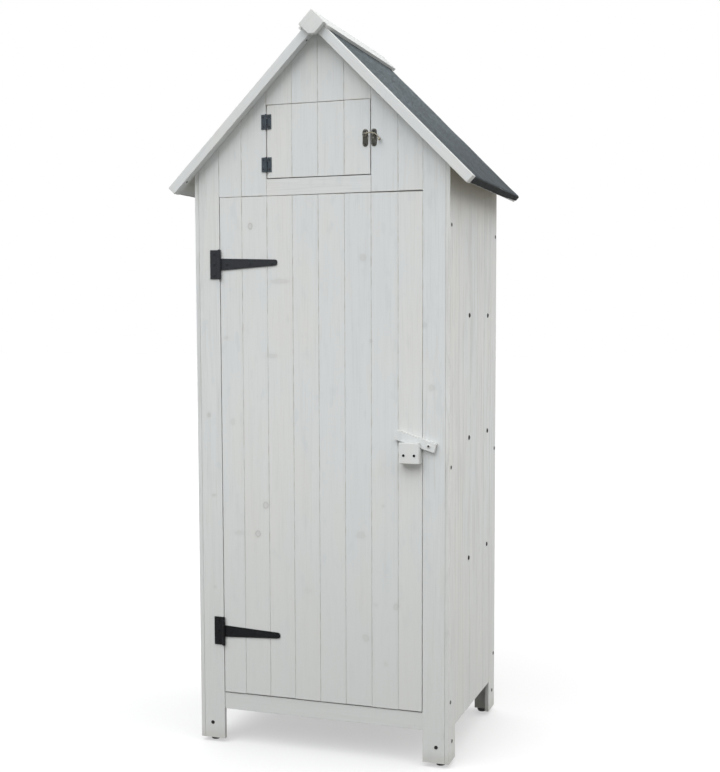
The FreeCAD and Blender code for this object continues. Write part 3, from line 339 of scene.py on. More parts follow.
# %% Floor
FLOOR_REACH = 30.0
FLOOR_GLOW = 0.5
FLOOR_SEEN = tint(160, 160, 160)
FLOOR_BOUNCE = tint(112, 112, 108)
floor_mesh = bpy.data.meshes.new("floor")
floor_corners = np.array([(-1, -1, 0), (1, -1, 0), (1, 1, 0), (-1, 1, 0)]) * FLOOR_REACH
floor_mesh.from_pydata(floor_corners.tolist(), [], [(0, 1, 2, 3)])
floor = place("floor", floor_mesh)
floor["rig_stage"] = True
floor_paint, floor_shader = material("floor_white")
seen = seen_rays()
floor_colour = mixed(seen, FLOOR_BOUNCE, FLOOR_SEEN)
plug(floor_shader, {"Base Color": floor_colour, "Roughness": 0.9, "Specular IOR Level": 0.0,
                    "Emission Color": WHITE, "Emission Strength": seen * FLOOR_GLOW})
floor_mesh.materials.append(floor_paint)
print("floor reaches", FLOOR_REACH, "m each way")

# %% [markdown]
# What the finishes share.
#
# Pine is never one colour. Its fibres run along the board, with broad streaks and the wavy contours of the
# growth rings. The first group gives these marks. It reads each point's place on its own board, with the
# third number along the grain, and the board's own number, so that no two boards are alike. Shrinking that
# third number before the noise reads it draws the noise out along the grain.

# %% Node group: marks of the grain
SEED_STEP = 37.0
ALONG_FIBRE = 0.02
ALONG_STREAK = 0.05
RINGS = 22.0
KNOT_SPACING = 0.16


@node_group(Place="Vector", Board="Float")
def timber_grain(point, board):
    """Fine fibres, brush marks, streaks, contours of the rings and scattered knots."""
    seed = board * SEED_STEP
    fibres = stretched(point, 1.0, 1.0, ALONG_FIBRE)
    streaks = stretched(point, 1.0, 1.0, ALONG_STREAK)
    shift = add("CombineXYZ", {0: seed, 1: seed, 2: seed})[0]
    knot_place = arrow("ADD", stretched(point, 1.15, 0.0, 0.9), shift)
    cells = add("TexVoronoi", {"Vector": knot_place, "Scale": 1 / KNOT_SPACING})
    rare = fade(axes_of(cells["Color"])[0], 0.62, 0.66)
    return {
        "Fibre": noise(fibres, 1500.0, 3.0, seed),
        "Brush": noise(fibres, 430.0, 2.0, seed),
        "Streak": noise(streaks, 95.0, 3.0, seed),
        "Contour": number("PINGPONG", noise(streaks, 24.0, 1.0, seed) * RINGS, 1.0),
        "Knot": fade(cells["Distance"], 0.085, 0.045) * rare,
    }


# %% [markdown]
# Nearness to an edge tells where paint wears thin. Half the board's size less the point's distance from
# the middle is how deep the point lies under each pair of faces. One of the three is nearly 0, because the
# point is on the surface, so the middle one is how far the nearest edge is away: their sum, less the lowest
# and the highest.

# %% Node group: nearness to an edge


@node_group(Place="Vector", Half="Vector", Width="Float")
def near_edge(point, half, width):
    """1 on an edge, falling to 0 at a width from it."""
    x, y, z = axes_of(arrow("SUBTRACT", half, arrow("ABSOLUTE", point)))
    outer_two = least(x, least(y, z)) + most(x, most(y, z))
    return {"Near": fade(x + (y + z) - outer_two, width, 0.0)}


# %% [markdown]
# A knot shows through white paint as a faint grey ring with a paler heart and a soft halo. This group
# repeats one at its real place on the front. Width and height are given apart, because some are wide
# smears. Several are chained: each keeps the stronger of its own stain and the one below it.

# %% Node group: one knot at a known place


@node_group(Below="Float", Position="Vector", Wobble="Float", X="Float", Z="Float", Wide="Float",
            High="Float", Ring="Float", Strength="Float")
def known_knot(below, position, wobble, x, z, wide, high, ring, strength):
    """A stain from its heart, its ring and its halo, whose radii are given as shares of the knot's."""
    at_x, _, at_z = axes_of(position)
    off_x, off_z = (at_x - x) / wide, (at_z - z) / high
    out = number("SQRT", off_x * off_x + off_z * off_z) + wobble
    heart = fade(out, 1.0, 0.6) * 0.3
    rim = fade(number("ABSOLUTE", out - 0.9), 0.3, 0.0) * ring
    halo = fade(out, 2.2, 0.8) * 0.16
    return {"Stain": most(below, (heart + (rim + halo)) * strength)}


# %% [markdown]
# Rain splashes earth onto the feet of anything that stands outdoors: a ragged line close to the ground.
# Above it the wall gets painted shade, darker towards the bottom in a slow fade from the height of the hip.
# The second group is the orange peel of sprayed paint and the pitting of cast metal: fine bumps with broad
# ones under them.

# %% Node groups: ground splash with low shade, and orange peel
LOW_SHADE_TOP = 0.95
BROAD_TO_FINE = 9.0


@node_group(Position="Vector", Reach="Float")
def ground_splash(position, reach):
    """Splashes near the ground, and above them painted shade that darkens the wall towards the bottom."""
    height = axes_of(position)[2]
    ragged = noise(position, 30.0, 4.0) * reach
    # The second output is painted shade: darker from the height of the hip down to the ground.
    return {"Splash": fade(height - ragged, reach, 0.0), "Dust": fade(height, LOW_SHADE_TOP, 0.0)}


@node_group(Position="Vector", Size="Float")
def orange_peel(position, size):
    """Bumps of a size, and broad ones under them."""
    scale = number("DIVIDE", 1.0, size)
    return {"Fine": noise(position, scale, 2.0), "Broad": noise(position, scale / BROAD_TO_FINE, 3.0)}


print("node groups:", sorted(item.name for item in bpy.data.node_groups))

# %% [markdown]
# White paint on pine.
#
# Each finish is one function. It mixes its colour in a few steps, from the clean coat down to painted shade
# and dirt, and takes the roughness and the relief from the same marks. The coat drifts between a cool and a
# warm white.
# Streaks and growth rings show as faint grey, brush marks as finer lines, knots as grey stains. Along the
# edges it is thin enough for the wood's brown to show, and the same brown is painted shade on the side walls
# under the eaves. Faces that look up are painted darker, as dust and as painted shade that tones down the
# light on them.

# %% Material: white painted pine
FRESH_PAINT = tint(231, 232, 231)
COOL_PAINT = tint(224, 229, 233)
WARM_PAINT = tint(233, 232, 227)
GREY_STREAK_AND_LOW_SHADE = tint(205, 206, 203)
KNOT_STAIN = tint(172, 170, 165)
THIN_EDGE_AND_EAVE_SHADE = tint(182, 173, 156)
TOP_DUST_AND_SHADE = tint(186, 189, 188)
BLUE_BLOTCH = tint(207, 212, 216)
EARTH = tint(168, 162, 150)
CALM_FIGURE = (0.09, 0.055, 0.22)
FRAME_FIGURE = (0.22, 0.12, 0.3)
WALL_FIGURE = (0.6, 0.3, 0.4)
SPLASH_REACH = 0.03
EAVE_HEIGHT = 1.43
EAVE_SHADE = 150 * MM
PAINT_EDGE = 2.2 * MM
PAINT_RELIEF = 0.25 * MM


def paint_over(shader, point, board, position, stain, thin, figure=CALM_FIGURE, gloss=0.35):
    """The coat itself, from a place on the board, the board's number, knots, thin edges with painted shade
    under the eaves, and figure. Faces that look up and the lower wall get painted shade too.
    """
    streaks, contours, brush = figure
    grain = timber_grain(point, board)
    ground = ground_splash(position, SPLASH_REACH)
    drift = noise(stretched(position, 1.0, 1.0, 0.35), 13.0, 3.0, board)
    marks = fade(grain["Streak"], 0.42, 0.72) * streaks
    marks = fade(grain["Contour"], 0.75, 1.0) * contours + marks
    marks = fade(grain["Brush"], 0.5, 0.75) * brush + marks
    blotch = fade(noise(stretched(position, 1.0, 1.0, 0.4), 44.0, 3.0, board), 0.56, 0.72)
    upward = axes_of(add("TexCoord")["Normal"])[2]
    colour = mixed(board * 0.5, FRESH_PAINT, COOL_PAINT)
    for share, over in (
        (fade(drift, 0.48, 0.75) * 0.6, COOL_PAINT),
        (fade(drift, 0.5, 0.25) * 0.6, WARM_PAINT),
        (marks, GREY_STREAK_AND_LOW_SHADE),
        (blotch * 0.24, BLUE_BLOTCH),
        # Dust, and painted shade that tones down the strong light on faces that look up.
        (fade(upward, 0.1, 0.7) * 0.9, TOP_DUST_AND_SHADE),
        (stain, KNOT_STAIN),
        # Thin paint along the edges, and the painted shade under the eaves.
        (thin, THIN_EDGE_AND_EAVE_SHADE),
        # Painted shade: darker towards the bottom, from the height of the hip down.
        (ground["Dust"] * 0.65, GREY_STREAK_AND_LOW_SHADE),
        (ground["Splash"] * 0.25, EARTH),
    ):
        colour = mixed(share, colour, over)
    lift = grain["Fibre"] * 0.35 + grain["Brush"] + grain["Contour"] * 0.25 - stain
    set_finish(shader, colour, between(grain["Brush"], 0.42, 0.62), lift, PAINT_RELIEF, 0.6,
               Specular_IOR_Level=gloss)


def painted_pine(name, knots=(), wild=0.5, figure=CALM_FIGURE, eave=0.0, worn=0.55):
    """White paint on pieces that carry their own place, half size and board number.

    wild is how strongly knots of its own show, eave how strongly shade is painted on the side faces just
    under the roof, as a brown darkening, worn how bare the edges are. figure is how strongly streaks,
    contours and brush marks show.
    """
    made, shader = material(name)
    point, board = own("place"), own("board", "Fac")
    coordinates = add("TexCoord")
    position = coordinates["Object"]
    wobble = noise(position, 110.0, 2.0) * 0.8 - 0.4
    stain = 0.0
    for x, z, wide, high, share, ring in knots:
        knot = known_knot(stain, position, wobble, x * MM, z * MM, wide * MM, high * MM, ring, share)
        stain = knot["Stain"]
    patchy = fade(noise(position, 38.0, 4.0), 0.35, 0.7)
    thin = near_edge(point, own("half"), PAINT_EDGE)["Near"] * patchy * worn
    sideways = fade(number("ABSOLUTE", axes_of(coordinates["Normal"])[0]), 0.4, 0.9)
    # Painted shade: the side faces turn brown just under the roof.
    painted_eave_shade = fade(axes_of(position)[2], EAVE_HEIGHT - EAVE_SHADE, EAVE_HEIGHT) * sideways
    stain = most(stain, timber_grain(point, board)["Knot"] * wild)
    paint_over(shader, point, board, position, stain, most(thin, painted_eave_shade * eave), figure)
    return made


# %% [markdown]
# The boards of the floor, the shelves and the roof stay as the frame has them and carry no place of their
# own. So this finish turns the position until its third number runs along the grain, and counts the boards
# across by the pitch at which they are laid.

# %% Material: painted pine that reads its boards from the position


def laid_boards(name, across, along, pitch, start):
    """Paint on boards laid side by side. across and along are directions, start is where a seam lies."""
    made, shader = material(name)
    position = add("TexCoord")["Object"]
    ways = (across, tuple(np.cross(along, across)), along)
    axes = [add("VectorMath", {0: position, 1: way}, operation="DOT_PRODUCT")["Value"] for way in ways]
    point = add("CombineXYZ", dict(enumerate(axes)))[0]
    count = number("FLOOR", (axes[0] - start) / pitch)
    board = add("TexWhiteNoise", {"W": count}, noise_dimensions="1D")["Value"]
    stain = timber_grain(point, board)["Knot"] * 0.6
    paint_over(shader, point, board, position, stain, 0.0, gloss=0.2)
    return made


# %% [markdown]
# Roof felt.
#
# The felt is bitumen sheet with slate grit pressed into it: a crowd of flat grains, each with a grey of its
# own. Voronoi cells give the grains, one random tone to each cell, and the distance to the cell's middle
# gives their relief. Broad clouds and run marks age it, it grows darker towards the eaves, and the cut edges
# show bare black bitumen. The folded hem is painted near black too, partly as bare bitumen and partly as
# painted shade for the shadow that it hangs in.

# %% Material: mineral roof felt
SLATE_DARK = tint(36, 42, 46)
SLATE_LIGHT = tint(96, 106, 112)
MOSSY = tint(92, 103, 92)
BITUMEN_AND_HEM_SHADE = tint(26, 26, 27)
GRIT = 1.5 * MM
GRIT_RELIEF = 0.5 * MM
CUT_EDGE = 2.6 * MM
HEM_SHADE_EDGE = (16 * MM, 12 * MM)


def mineral_felt(name):
    """Slate grit on bitumen."""
    made, shader = material(name)
    point, half = own("place"), own("half")
    position = add("TexCoord")["Object"]
    grains = add("TexVoronoi", {"Vector": position, "Scale": 1 / GRIT})
    clouds = noise(position, 7.0, 4.0)
    runs = noise(stretched(point, 0.12, 1.0, 1.0), 42.0, 3.0)
    tone = fade(noise(position, 120.0, 5.0), 0.44, 0.57) * 0.8 + axes_of(grains["Color"])[0] * 0.35
    moss = fade(noise(position, 70.0, 2.0, 5.0), 0.5, 0.7)
    from_ridge = number("ABSOLUTE", axes_of(point)[0])
    to_hem = axes_of(half)[0] - from_ridge
    near = near_edge(point, half, CUT_EDGE)["Near"]
    colour = mixed(tone, SLATE_DARK, mixed(moss * 0.6, SLATE_LIGHT, MOSSY))
    for share, over in (
        # The felt grows darker from the ridge towards the eaves.
        (fade(from_ridge, 0.15, 0.56) * 0.7, SLATE_DARK),
        (fade(clouds, 0.35, 0.7) * 0.3, SLATE_DARK),
        (fade(runs, 0.5, 0.75) * 0.25, SLATE_LIGHT),
        # Painted shade: the folded hem turns near black, partly as bare bitumen.
        (fade(to_hem, *HEM_SHADE_EDGE) * 0.8, BITUMEN_AND_HEM_SHADE),
        (fade(near + clouds * 0.3, 0.4, 0.8), BITUMEN_AND_HEM_SHADE),
    ):
        colour = mixed(share, colour, over)
    set_finish(shader, colour, between(tone, 0.82, 0.98), tone - grains["Distance"], GRIT_RELIEF, 0.8,
               Specular_IOR_Level=0.25)
    return made


# %% [markdown]
# The metals and the plastic.
#
# The long hinges are black sprayed iron, painted a little lighter high up on the cabinet as a painted
# reflection of the sky. The hook and its plates are brass with a dark antique finish, rubbed bright where
# hands touch them. The screws are blackened. The one on which the catch turns was painted over with the bar,
# and only its middle has stayed dark. The glides under the feet are black plastic, scuffed by the ground.

# %% Materials: ironwork, bronze, screws and plastic
SHEEN_HEIGHTS = (0.4, 1.2)
METAL_EDGE = 0.9 * MM
METAL_RELIEF = 0.12 * MM


def worn_metal(name, coat, rubbed, rub, rough, size, faded=None, **plain):
    """A coat rubbed to another colour along its edges, with the peel of spray or casting in its relief.

    The last colour is the coat high up on the cabinet, painted lighter there as a reflection of the sky.
    """
    made, shader = material(name)
    position = add("TexCoord")["Object"]
    peel = orange_peel(position, size)
    worn = near_edge(own("place"), own("half"), METAL_EDGE)["Near"] * fade(peel["Broad"], 0.35, 0.65)
    worn = most(worn, fade(peel["Broad"], 0.54, 0.74))
    # Painted reflection of the sky: the coat turns lighter higher up.
    high_up = fade(axes_of(position)[2], *SHEEN_HEIGHTS)
    colour = mixed(worn * rub, mixed(high_up, coat, faded or coat), rubbed)
    set_finish(shader, colour, between(peel["Fine"], rough - 0.1, rough + 0.12),
               peel["Fine"] + peel["Broad"], METAL_RELIEF, 0.5, **plain)
    return made


# The black iron is painted lighter high up, as a reflection of the sky.
BLACK_IRON = worn_metal("black_sprayed_iron", tint(14, 15, 17), tint(70, 74, 77), 0.2, 0.52, 0.9 * MM,
                        tint(50, 52, 56), Specular_IOR_Level=0.15)
SLATE_IRON = worn_metal("slate_grey_iron", tint(50, 60, 68), tint(112, 120, 126), 0.4, 0.5, 0.7 * MM,
                        Metallic=0.25)
BRONZE = worn_metal("antique_bronze", tint(70, 70, 66), tint(158, 154, 146), 0.85, 0.32, 0.5 * MM,
                    Metallic=0.9)
BRIGHT_BRONZE = worn_metal("rubbed_bronze", tint(118, 114, 102), tint(182, 176, 160), 0.8, 0.3, 0.5 * MM,
                           Metallic=0.9)
ZINC = worn_metal("blackened_screws", tint(34, 32, 31), tint(66, 62, 60), 0.4, 0.55, 0.5 * MM,
                  Specular_IOR_Level=0.3)
PLASTIC = worn_metal("black_plastic", tint(34, 34, 35), tint(92, 90, 86), 0.5, 0.6, 1.2 * MM)


SCREW_PEEL = 0.7 * MM
SCREW_RAGGED = 0.8 * MM
SCREW_RELIEF = 0.1 * MM


def painted_screw(name, dark_radius):
    """White paint on a screw head, with the bare dark metal in its middle."""
    made, shader = material(name)
    point = own("place")
    peel = orange_peel(point, SCREW_PEEL)
    out = add("VectorMath", {0: stretched(point, 1.0, 0.0, 1.0)}, operation="LENGTH")["Value"]
    ragged = peel["Broad"] * SCREW_RAGGED + (out - SCREW_RAGGED / 2)
    bare = fade(ragged, dark_radius * 1.1, dark_radius * 0.9)
    set_finish(shader, mixed(bare, FRESH_PAINT, tint(38, 36, 35)), between(peel["Fine"], 0.45, 0.6),
               peel["Fine"], SCREW_RELIEF, 0.5, Specular_IOR_Level=0.3)
    return made


PAINTED_SCREW = painted_screw("painted_pivot_screw", 2.7 * MM)
print("finishes so far:", sorted(item.name for item in bpy.data.materials))

# %% [markdown]
# Shapes as arrays.
#
# Nearly every piece of the cabinet is an outline carried along a line. The outline is an array of corner
# points. Its corners are softened, it is drawn in a little at both ends, and the result is a stack of
# rings: one array of ring, point and coordinate.

# %% Outlines
EASE_STEPS = 3


def unit(vectors):
    """Vectors divided by their own lengths."""
    return vectors / np.linalg.norm(vectors, axis=-1, keepdims=True)


def inset(corners, distance):
    """Moves the sides of an outline inwards, all by one distance.

    The outline runs anticlockwise, so a side (x, y) has the inward normal (-y, x). A corner moves along
    the sum of its two normals, divided by one plus their product, which keeps it on both moved sides.
    """
    along = unit(np.roll(corners, -1, axis=0) - corners)
    inward = np.stack([-along[:, 1], along[:, 0]], axis=1)
    before = np.roll(inward, 1, axis=0)
    mitre = (before + inward) / (1 + (before * inward).sum(axis=1))[:, None]
    return corners + distance * mitre


def softened(corners, radii, steps=EASE_STEPS):
    """Replaces each corner of an outline that has a radius by a short curve.

    The curve starts on the side before the corner, at a, and ends on the side after it, at b, both at the
    radius over the tangent of half the corner's angle. Between them it is the parabola
    (1 - s)^2 a + 2 s (1 - s) corner + s^2 b, for s from 0 to 1.
    """
    before = unit(np.roll(corners, 1, axis=0) - corners)
    after = unit(np.roll(corners, -1, axis=0) - corners)
    angle = np.arccos(np.clip((before * after).sum(axis=1), -1, 1))
    cut = (radii / np.tan(angle / 2))[:, None]
    counts = np.where(radii > 0, steps + 1, 1)
    which = np.repeat(np.arange(len(corners)), counts)
    first = np.repeat(np.cumsum(counts) - counts, counts)
    s = ((np.arange(len(which)) - first) / steps)[:, None]
    a, b, corner = (corners + cut * before)[which], (corners + cut * after)[which], corners[which]
    return (1 - s) ** 2 * a + 2 * s * (1 - s) * corner + s ** 2 * b


def turned_left(corners):
    """The same outline, running anticlockwise: its doubled area, the sum of x y' - x' y, is positive."""
    after = np.roll(corners, -1, axis=0)
    area = (corners[:, 0] * after[:, 1] - after[:, 0] * corners[:, 1]).sum()
    return corners if area > 0 else corners[::-1]


# %% Rings and skins
TIGHTEST = 0.1


def bar_rings(corners, radii, ease, low, high, steps=EASE_STEPS):
    """A stack of outlines from low to high, drawn in at both ends by a quarter circle of radius ease.

    At an angle t of the quarter circle the outline is drawn in by ease (1 - sin t) and lies
    ease (1 - cos t) from the end. low and high are heights, or functions of the outline's first
    coordinate where an end slopes.
    """
    turn = np.linspace(0, np.pi / 2, steps)
    lifts = (ease * (1 - np.cos(turn)))[:, None]
    smallest = np.where(radii > 0, TIGHTEST * radii, 0)
    outlines = np.stack([softened(inset(corners, draw), np.maximum(radii - draw, smallest))
                         for draw in ease * (1 - np.sin(turn))])
    across = outlines[..., 0]
    bottom, top = (end(across) if callable(end) else end + 0 * across for end in (low, high))
    bottom, top = np.dstack([outlines, bottom + lifts]), np.dstack([outlines, top - lifts])
    return np.concatenate([bottom, top[::-1]])


def skin(rings, wrap=False):
    """The points of a stack of rings, quads between neighbouring rings and one face at each end.

    With wrap the last ring joins the first, as on a link of chain, and there are no ends.
    """
    count, size = rings.shape[:2]
    ring, point = np.indices((count if wrap else count - 1, size)).reshape(2, -1)
    here, above = ring * size, (ring + 1) % count * size
    after = (point + 1) % size
    quads = np.stack([here + point, here + after, above + after, above + point], axis=1)
    ends = [] if wrap else [np.arange(size)[None, ::-1], (count - 1) * size + np.arange(size)[None]]
    return rings.reshape(-1, 3), [quads, *ends]


# %% [markdown]
# From skins to pieces.
#
# A piece is one object made of one or more closed skins, such as the eight boards of the door. Each skin
# carries what its finish reads: the place of each point seen from the skin's middle, half its size, both
# across the grain, into the depth and along the grain, and a number of its own.
#
# Shading is smooth over the eased edges. A point that a broad face shares with a thin eased strip would
# make the broad face shade like a cushion, so a modifier lets the larger face lead.

# %% Parts and pieces
UPRIGHT = np.eye(3)
SHARP_ANGLE = math.radians(38)
LARGE_FACE_WEIGHT = 80
CARRIED = (("place", "FLOAT_VECTOR", "vector", 3), ("half", "FLOAT_VECTOR", "vector", 3),
           ("board", "FLOAT", "value", 1))
dice = np.random.default_rng(1790)


def part(rings, axes=UPRIGHT, wrap=False):
    """One closed skin with what its finish needs. The rows of axes are across, depth and along."""
    points, faces = skin(rings, wrap)
    local = points @ axes.T
    low, high = local.min(axis=0), local.max(axis=0)
    return {"points": points, "faces": faces, "place": local - (low + high) / 2,
            "half": (high - low) / 2, "board": dice.random()}


def volume(item):
    """The volume of a part: a sixth of the sum of the box products of its faces' triangle fans."""
    fans = [item["points"][block] for block in item["faces"]]
    return sum((np.cross(fan[:, 1:-1], fan[:, 2:]) * fan[:, :1]).sum() / 6 for fan in fans)


def piece(name, parts, finish, slot, *nodes, body=None):
    """Joins parts into one object, lets it ride on its body and stand for the frame's nodes."""
    faces, start = [], 0
    for item in parts:
        if volume(item) < 0:
            item["faces"] = [block[:, ::-1] for block in item["faces"]]
        for block in item["faces"]:
            faces += (block + start).tolist()
        start += len(item["points"])
    mesh = bpy.data.meshes.new(name)
    mesh.from_pydata(np.concatenate([item["points"] for item in parts]).tolist(), [], faces)
    for key, kind, field, width in CARRIED:
        values = [np.broadcast_to(item[key], (len(item["points"]), width)) for item in parts]
        values = np.concatenate(values).astype(np.float32).ravel()
        mesh.attributes.new(key, kind, "POINT").data.foreach_set(field, values)
    mesh.shade_smooth()
    mesh.set_sharp_from_angle(angle=SHARP_ANGLE)
    mesh.materials.append(finish)
    made = place(name, mesh)
    flat = made.modifiers.new("large_faces_lead", "WEIGHTED_NORMAL")
    flat.weight = LARGE_FACE_WEIGHT
    flat.keep_sharp = True
    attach(made, body or frame["nodes"][nodes[0]]["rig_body"])
    if nodes:
        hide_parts(*nodes)
    solid = sum(volume(item) for item in parts)
    print(f"{name}: {len(parts)} parts, {len(faces)} faces, {solid / MM ** 3 / 1000:.1f} cm3")


# %% [markdown]
# Reading solids from the frame.
#
# One node can hold several solids, such as all the screws of the doors. Points that share a place are first
# given one number. Then each point takes the lowest number found in its triangles, over and over, until
# nothing changes. What ends with one number is one solid.

# %% The separate solids of a node
SAME_PLACE = 0.01 * MM


def solids_of(node):
    """The points of each separate solid of a frame node, lowest x first."""
    mesh = frame["nodes"][node].data
    points = np.empty(len(mesh.vertices) * 3, np.float32)
    mesh.vertices.foreach_get("co", points)
    points = points.reshape(-1, 3).astype(float)
    corners = np.empty(len(mesh.loops), np.int32)
    mesh.loops.foreach_get("vertex_index", corners)
    keys, number_of = np.unique(np.round(points / SAME_PLACE).astype(int), axis=0, return_inverse=True)
    number_of = number_of.reshape(-1)
    triangles = number_of[corners].reshape(-1, 3)
    label = np.arange(len(keys))
    while True:
        lowest = label.copy()
        np.minimum.at(lowest, triangles.ravel(), np.repeat(lowest[triangles].min(axis=1), 3))
        lowest = lowest[lowest]
        if (lowest == label).all():
            break
        label = lowest
    found = [points[label[number_of] == item] for item in np.unique(label)]
    return sorted(found, key=lambda solid: tuple(np.round(solid.min(axis=0), 4)))


def boxes_of(node):
    """The lowest corner, the highest corner and the middle of each separate solid of a node."""
    reaches = [(solid.min(axis=0), solid.max(axis=0)) for solid in solids_of(node)]
    return [(low, high, (low + high) / 2) for low, high in reaches]


def box_of(node):
    """The lowest and the highest corner of a whole node."""
    return [np.array(corner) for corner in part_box(node)]


print("screws on the walls:", len(solids_of("cladding_screws")))

# %% [markdown]
# Planed timber.
#
# Posts, rails, ledges and battens are straight bars with planed, slightly rounded edges. In the frame each
# is a sharp solid, sometimes with screw holes. Seen along the right axis its outline is convex, so the
# smallest convex outline round its points is its true shape, and the holes drop out. The outline is
# softened, carried from end to end, and the grain is laid along the longest side.

# %% Bars read from the frame
CYCLE = {"x": [1, 2, 0], "y": [2, 0, 1], "z": [0, 1, 2]}
STRAIGHT = 0.02


def convex_outline(flat):
    """The corners of the smallest convex outline round flat points, without those on a straight side."""
    flat = np.unique(np.round(flat, 6), axis=0)
    corners = turned_left(flat[geometry.convex_hull_2d([Vector(point) for point in flat])])
    side = unit(np.roll(corners, -1, axis=0) - corners)
    before = np.roll(side, 1, axis=0)
    return corners[before[:, 0] * side[:, 1] - before[:, 1] * side[:, 0] > STRAIGHT]


def grain_axes(corners, length):
    """Across, depth and along, with the grain on the bar's longest side."""
    depth, along = np.array([0.0, 1.0, 0.0]), np.array([0.0, 0.0, 1.0])
    sides = np.roll(corners, -1, axis=0) - corners
    longest = sides[np.linalg.norm(sides, axis=1).argmax()]
    if np.linalg.norm(longest) > length:
        depth, along = along, np.array([*unit(longest), 0.0])
    return np.array([np.cross(depth, along), depth, along])


def in_order(values, axis):
    """Coordinates that were taken in the cycle of an axis, back in the order x, y, z."""
    placed = np.empty_like(values)
    placed[..., CYCLE[axis]] = values
    return placed


def planed(points, axis, ease):
    """A planed bar in place of a sharp one, whose outline is seen along an axis. ease is in millimetres."""
    local = points[:, CYCLE[axis]]
    corners = convex_outline(local[:, :2])
    low, high = local[:, 2].min(), local[:, 2].max()
    rings = bar_rings(corners, np.full(len(corners), ease * MM), ease * MM, low, high)
    return part(in_order(rings, axis), in_order(grain_axes(corners, high - low), axis))


def painted(node, parts, finish, slot="painted_wood"):
    """A wooden piece that stands for one frame node."""
    piece("painted_" + node, parts, finish, slot, node)


def planed_nodes(names, axis, ease, finish, slot="painted_wood", recess=0.0):
    """Each named frame node as one piece of planed bars. A recess sets their front back a little."""
    for node in names.split():
        bars = []
        for solid in solids_of(node):
            solid[:, 1] = np.maximum(solid[:, 1], solid[:, 1].min() + recess)
            bars.append(planed(solid, axis, ease))
        painted(node, bars, finish, slot)


# %% [markdown]
# Knots of the front.
#
# These are the marks that the photograph shows, with their places in millimetres from the cabinet's middle
# and from the ground, half their width and height, how strongly they show and how much of each is its
# ring. One without a ring is a smear or a soft blot.

# %% Knots of the front
DOOR_KNOTS = [
    (-177, 1296, 6, 8, 0.5, 0.8), (113, 1214, 9, 8, 0.45, 0.2), (-100, 1162, 24, 6, 0.4, 0.2),
    (-245, 1024, 7, 5, 0.45, 0.0), (-122, 981, 14, 6, 0.4, 0.1), (132, 1018, 4, 5, 0.5, 0.3),
    (-229, 817, 7, 8, 0.3, 0.3), (-142, 613, 7, 9, 0.55, 0.7), (-164, 540, 7, 8, 0.6, 0.8),
    (-212, 540, 18, 6, 0.4, 0.0), (106, 552, 12, 9, 0.45, 0.2), (162, 625, 4, 5, 0.4, 0.0),
    (194, 383, 7, 8, 0.65, 0.3), (143, 384, 6, 6, 0.45, 0.0), (118, 301, 8, 9, 0.6, 0.3),
    (168, 242, 6, 7, 0.5, 0.0), (-32, 406, 12, 8, 0.25, 0.0),
]
STILE_KNOTS = [
    (-294, 833, 5, 6, 0.7, 0.2), (-283, 632, 6, 4, 0.6, 0.0), (-283, 399, 5, 4, 0.5, 0.0),
    (265, 1056, 4, 6, 0.35, 0.3), (282, 909, 7, 8, 0.4, 0.2), (317, 633, 4, 9, 0.5, 0.0),
    (313, 78, 3, 11, 0.8, 0.0),
]
DOOR_PAINT = painted_pine("white_paint_door", DOOR_KNOTS, 0.0)
STILE_PAINT = painted_pine("white_paint_stiles", STILE_KNOTS, 0.0, FRAME_FIGURE, worn=0.15)
WALL_PAINT = painted_pine("white_paint_walls", (), 0.3, WALL_FIGURE, 0.9)
LEG_PAINT = painted_pine("white_paint_legs", (), 0.3, WALL_FIGURE, 0.9, 0.15)
PLAIN_PAINT = painted_pine("white_paint_frame", (), 0.3, FRAME_FIGURE)
TRIM_PAINT = painted_pine("white_paint_trim", (), 0.0)
print("knots placed:", len(DOOR_KNOTS) + len(STILE_KNOTS))

# %% Stiles, rails and leg boards
RAIL_RECESS = 2.4 * MM
LEG_TOP = 5 * MM
planed_nodes("middle_rail", "y", 0.5, STILE_PAINT)
planed_nodes("left_stile right_stile", "y", 0.3, STILE_PAINT)
planed_nodes("bottom_rail", "y", 0.9, STILE_PAINT, recess=RAIL_RECESS)


def leg_boards(names):
    """Leg boards whose tops are cut to the slope of the roof, so that they close with the boards above."""
    for node in names.split():
        solid = solids_of(node)[0]
        made = planed(solid, "x", 0.3)
        outer, top = np.abs(solid[:, 0]).max(), solid[:, 2].max()
        points = made["points"]
        points[:, 2] += (points[:, 2] > top - LEG_TOP) * (outer - np.abs(points[:, 0]))
        painted(node, [made], LEG_PAINT)


leg_boards("front_left_leg_board front_right_leg_board rear_left_leg_board rear_right_leg_board")

# %% Posts, ledges and the bars inside
planed_nodes("front_left_post front_right_post rear_left_post rear_right_post", "z", 1.5, PLAIN_PAINT)
planed_nodes("front_rafters rear_rafters door_braces", "y", 1.2, PLAIN_PAINT)
planed_nodes("door_ledges loft_door_ledges", "x", 1.5, PLAIN_PAINT)
planed_nodes("floor_bearers loft_bearers shelf_battens", "y", 1.2, PLAIN_PAINT, "inner_wood")

# %% [markdown]
# The trim of the roof and the door's catch.
#
# A strip of wood on the front edge of each slope hides the ends of the roof boards. Two boards cover the
# ridge, and a square block covers the place where all of them meet. On the door, a tilted bar turns on one
# screw and drops into a slot behind a small block. All of these are planed rounder than the walls.

# %% Bargeboards, ridge boards, peak block and catch
planed_nodes("left_bargeboard right_bargeboard", "y", 1.4, TRIM_PAINT)
planed_nodes("left_ridge_board right_ridge_board", "y", 1.2, TRIM_PAINT)
planed_nodes("peak_block", "y", 2.0, TRIM_PAINT)
planed_nodes("turn_bar", "y", 1.3, TRIM_PAINT)
planed_nodes("catch_block", "y", 2.0, TRIM_PAINT)
planed_nodes("catch_spacer", "y", 1.2, TRIM_PAINT)

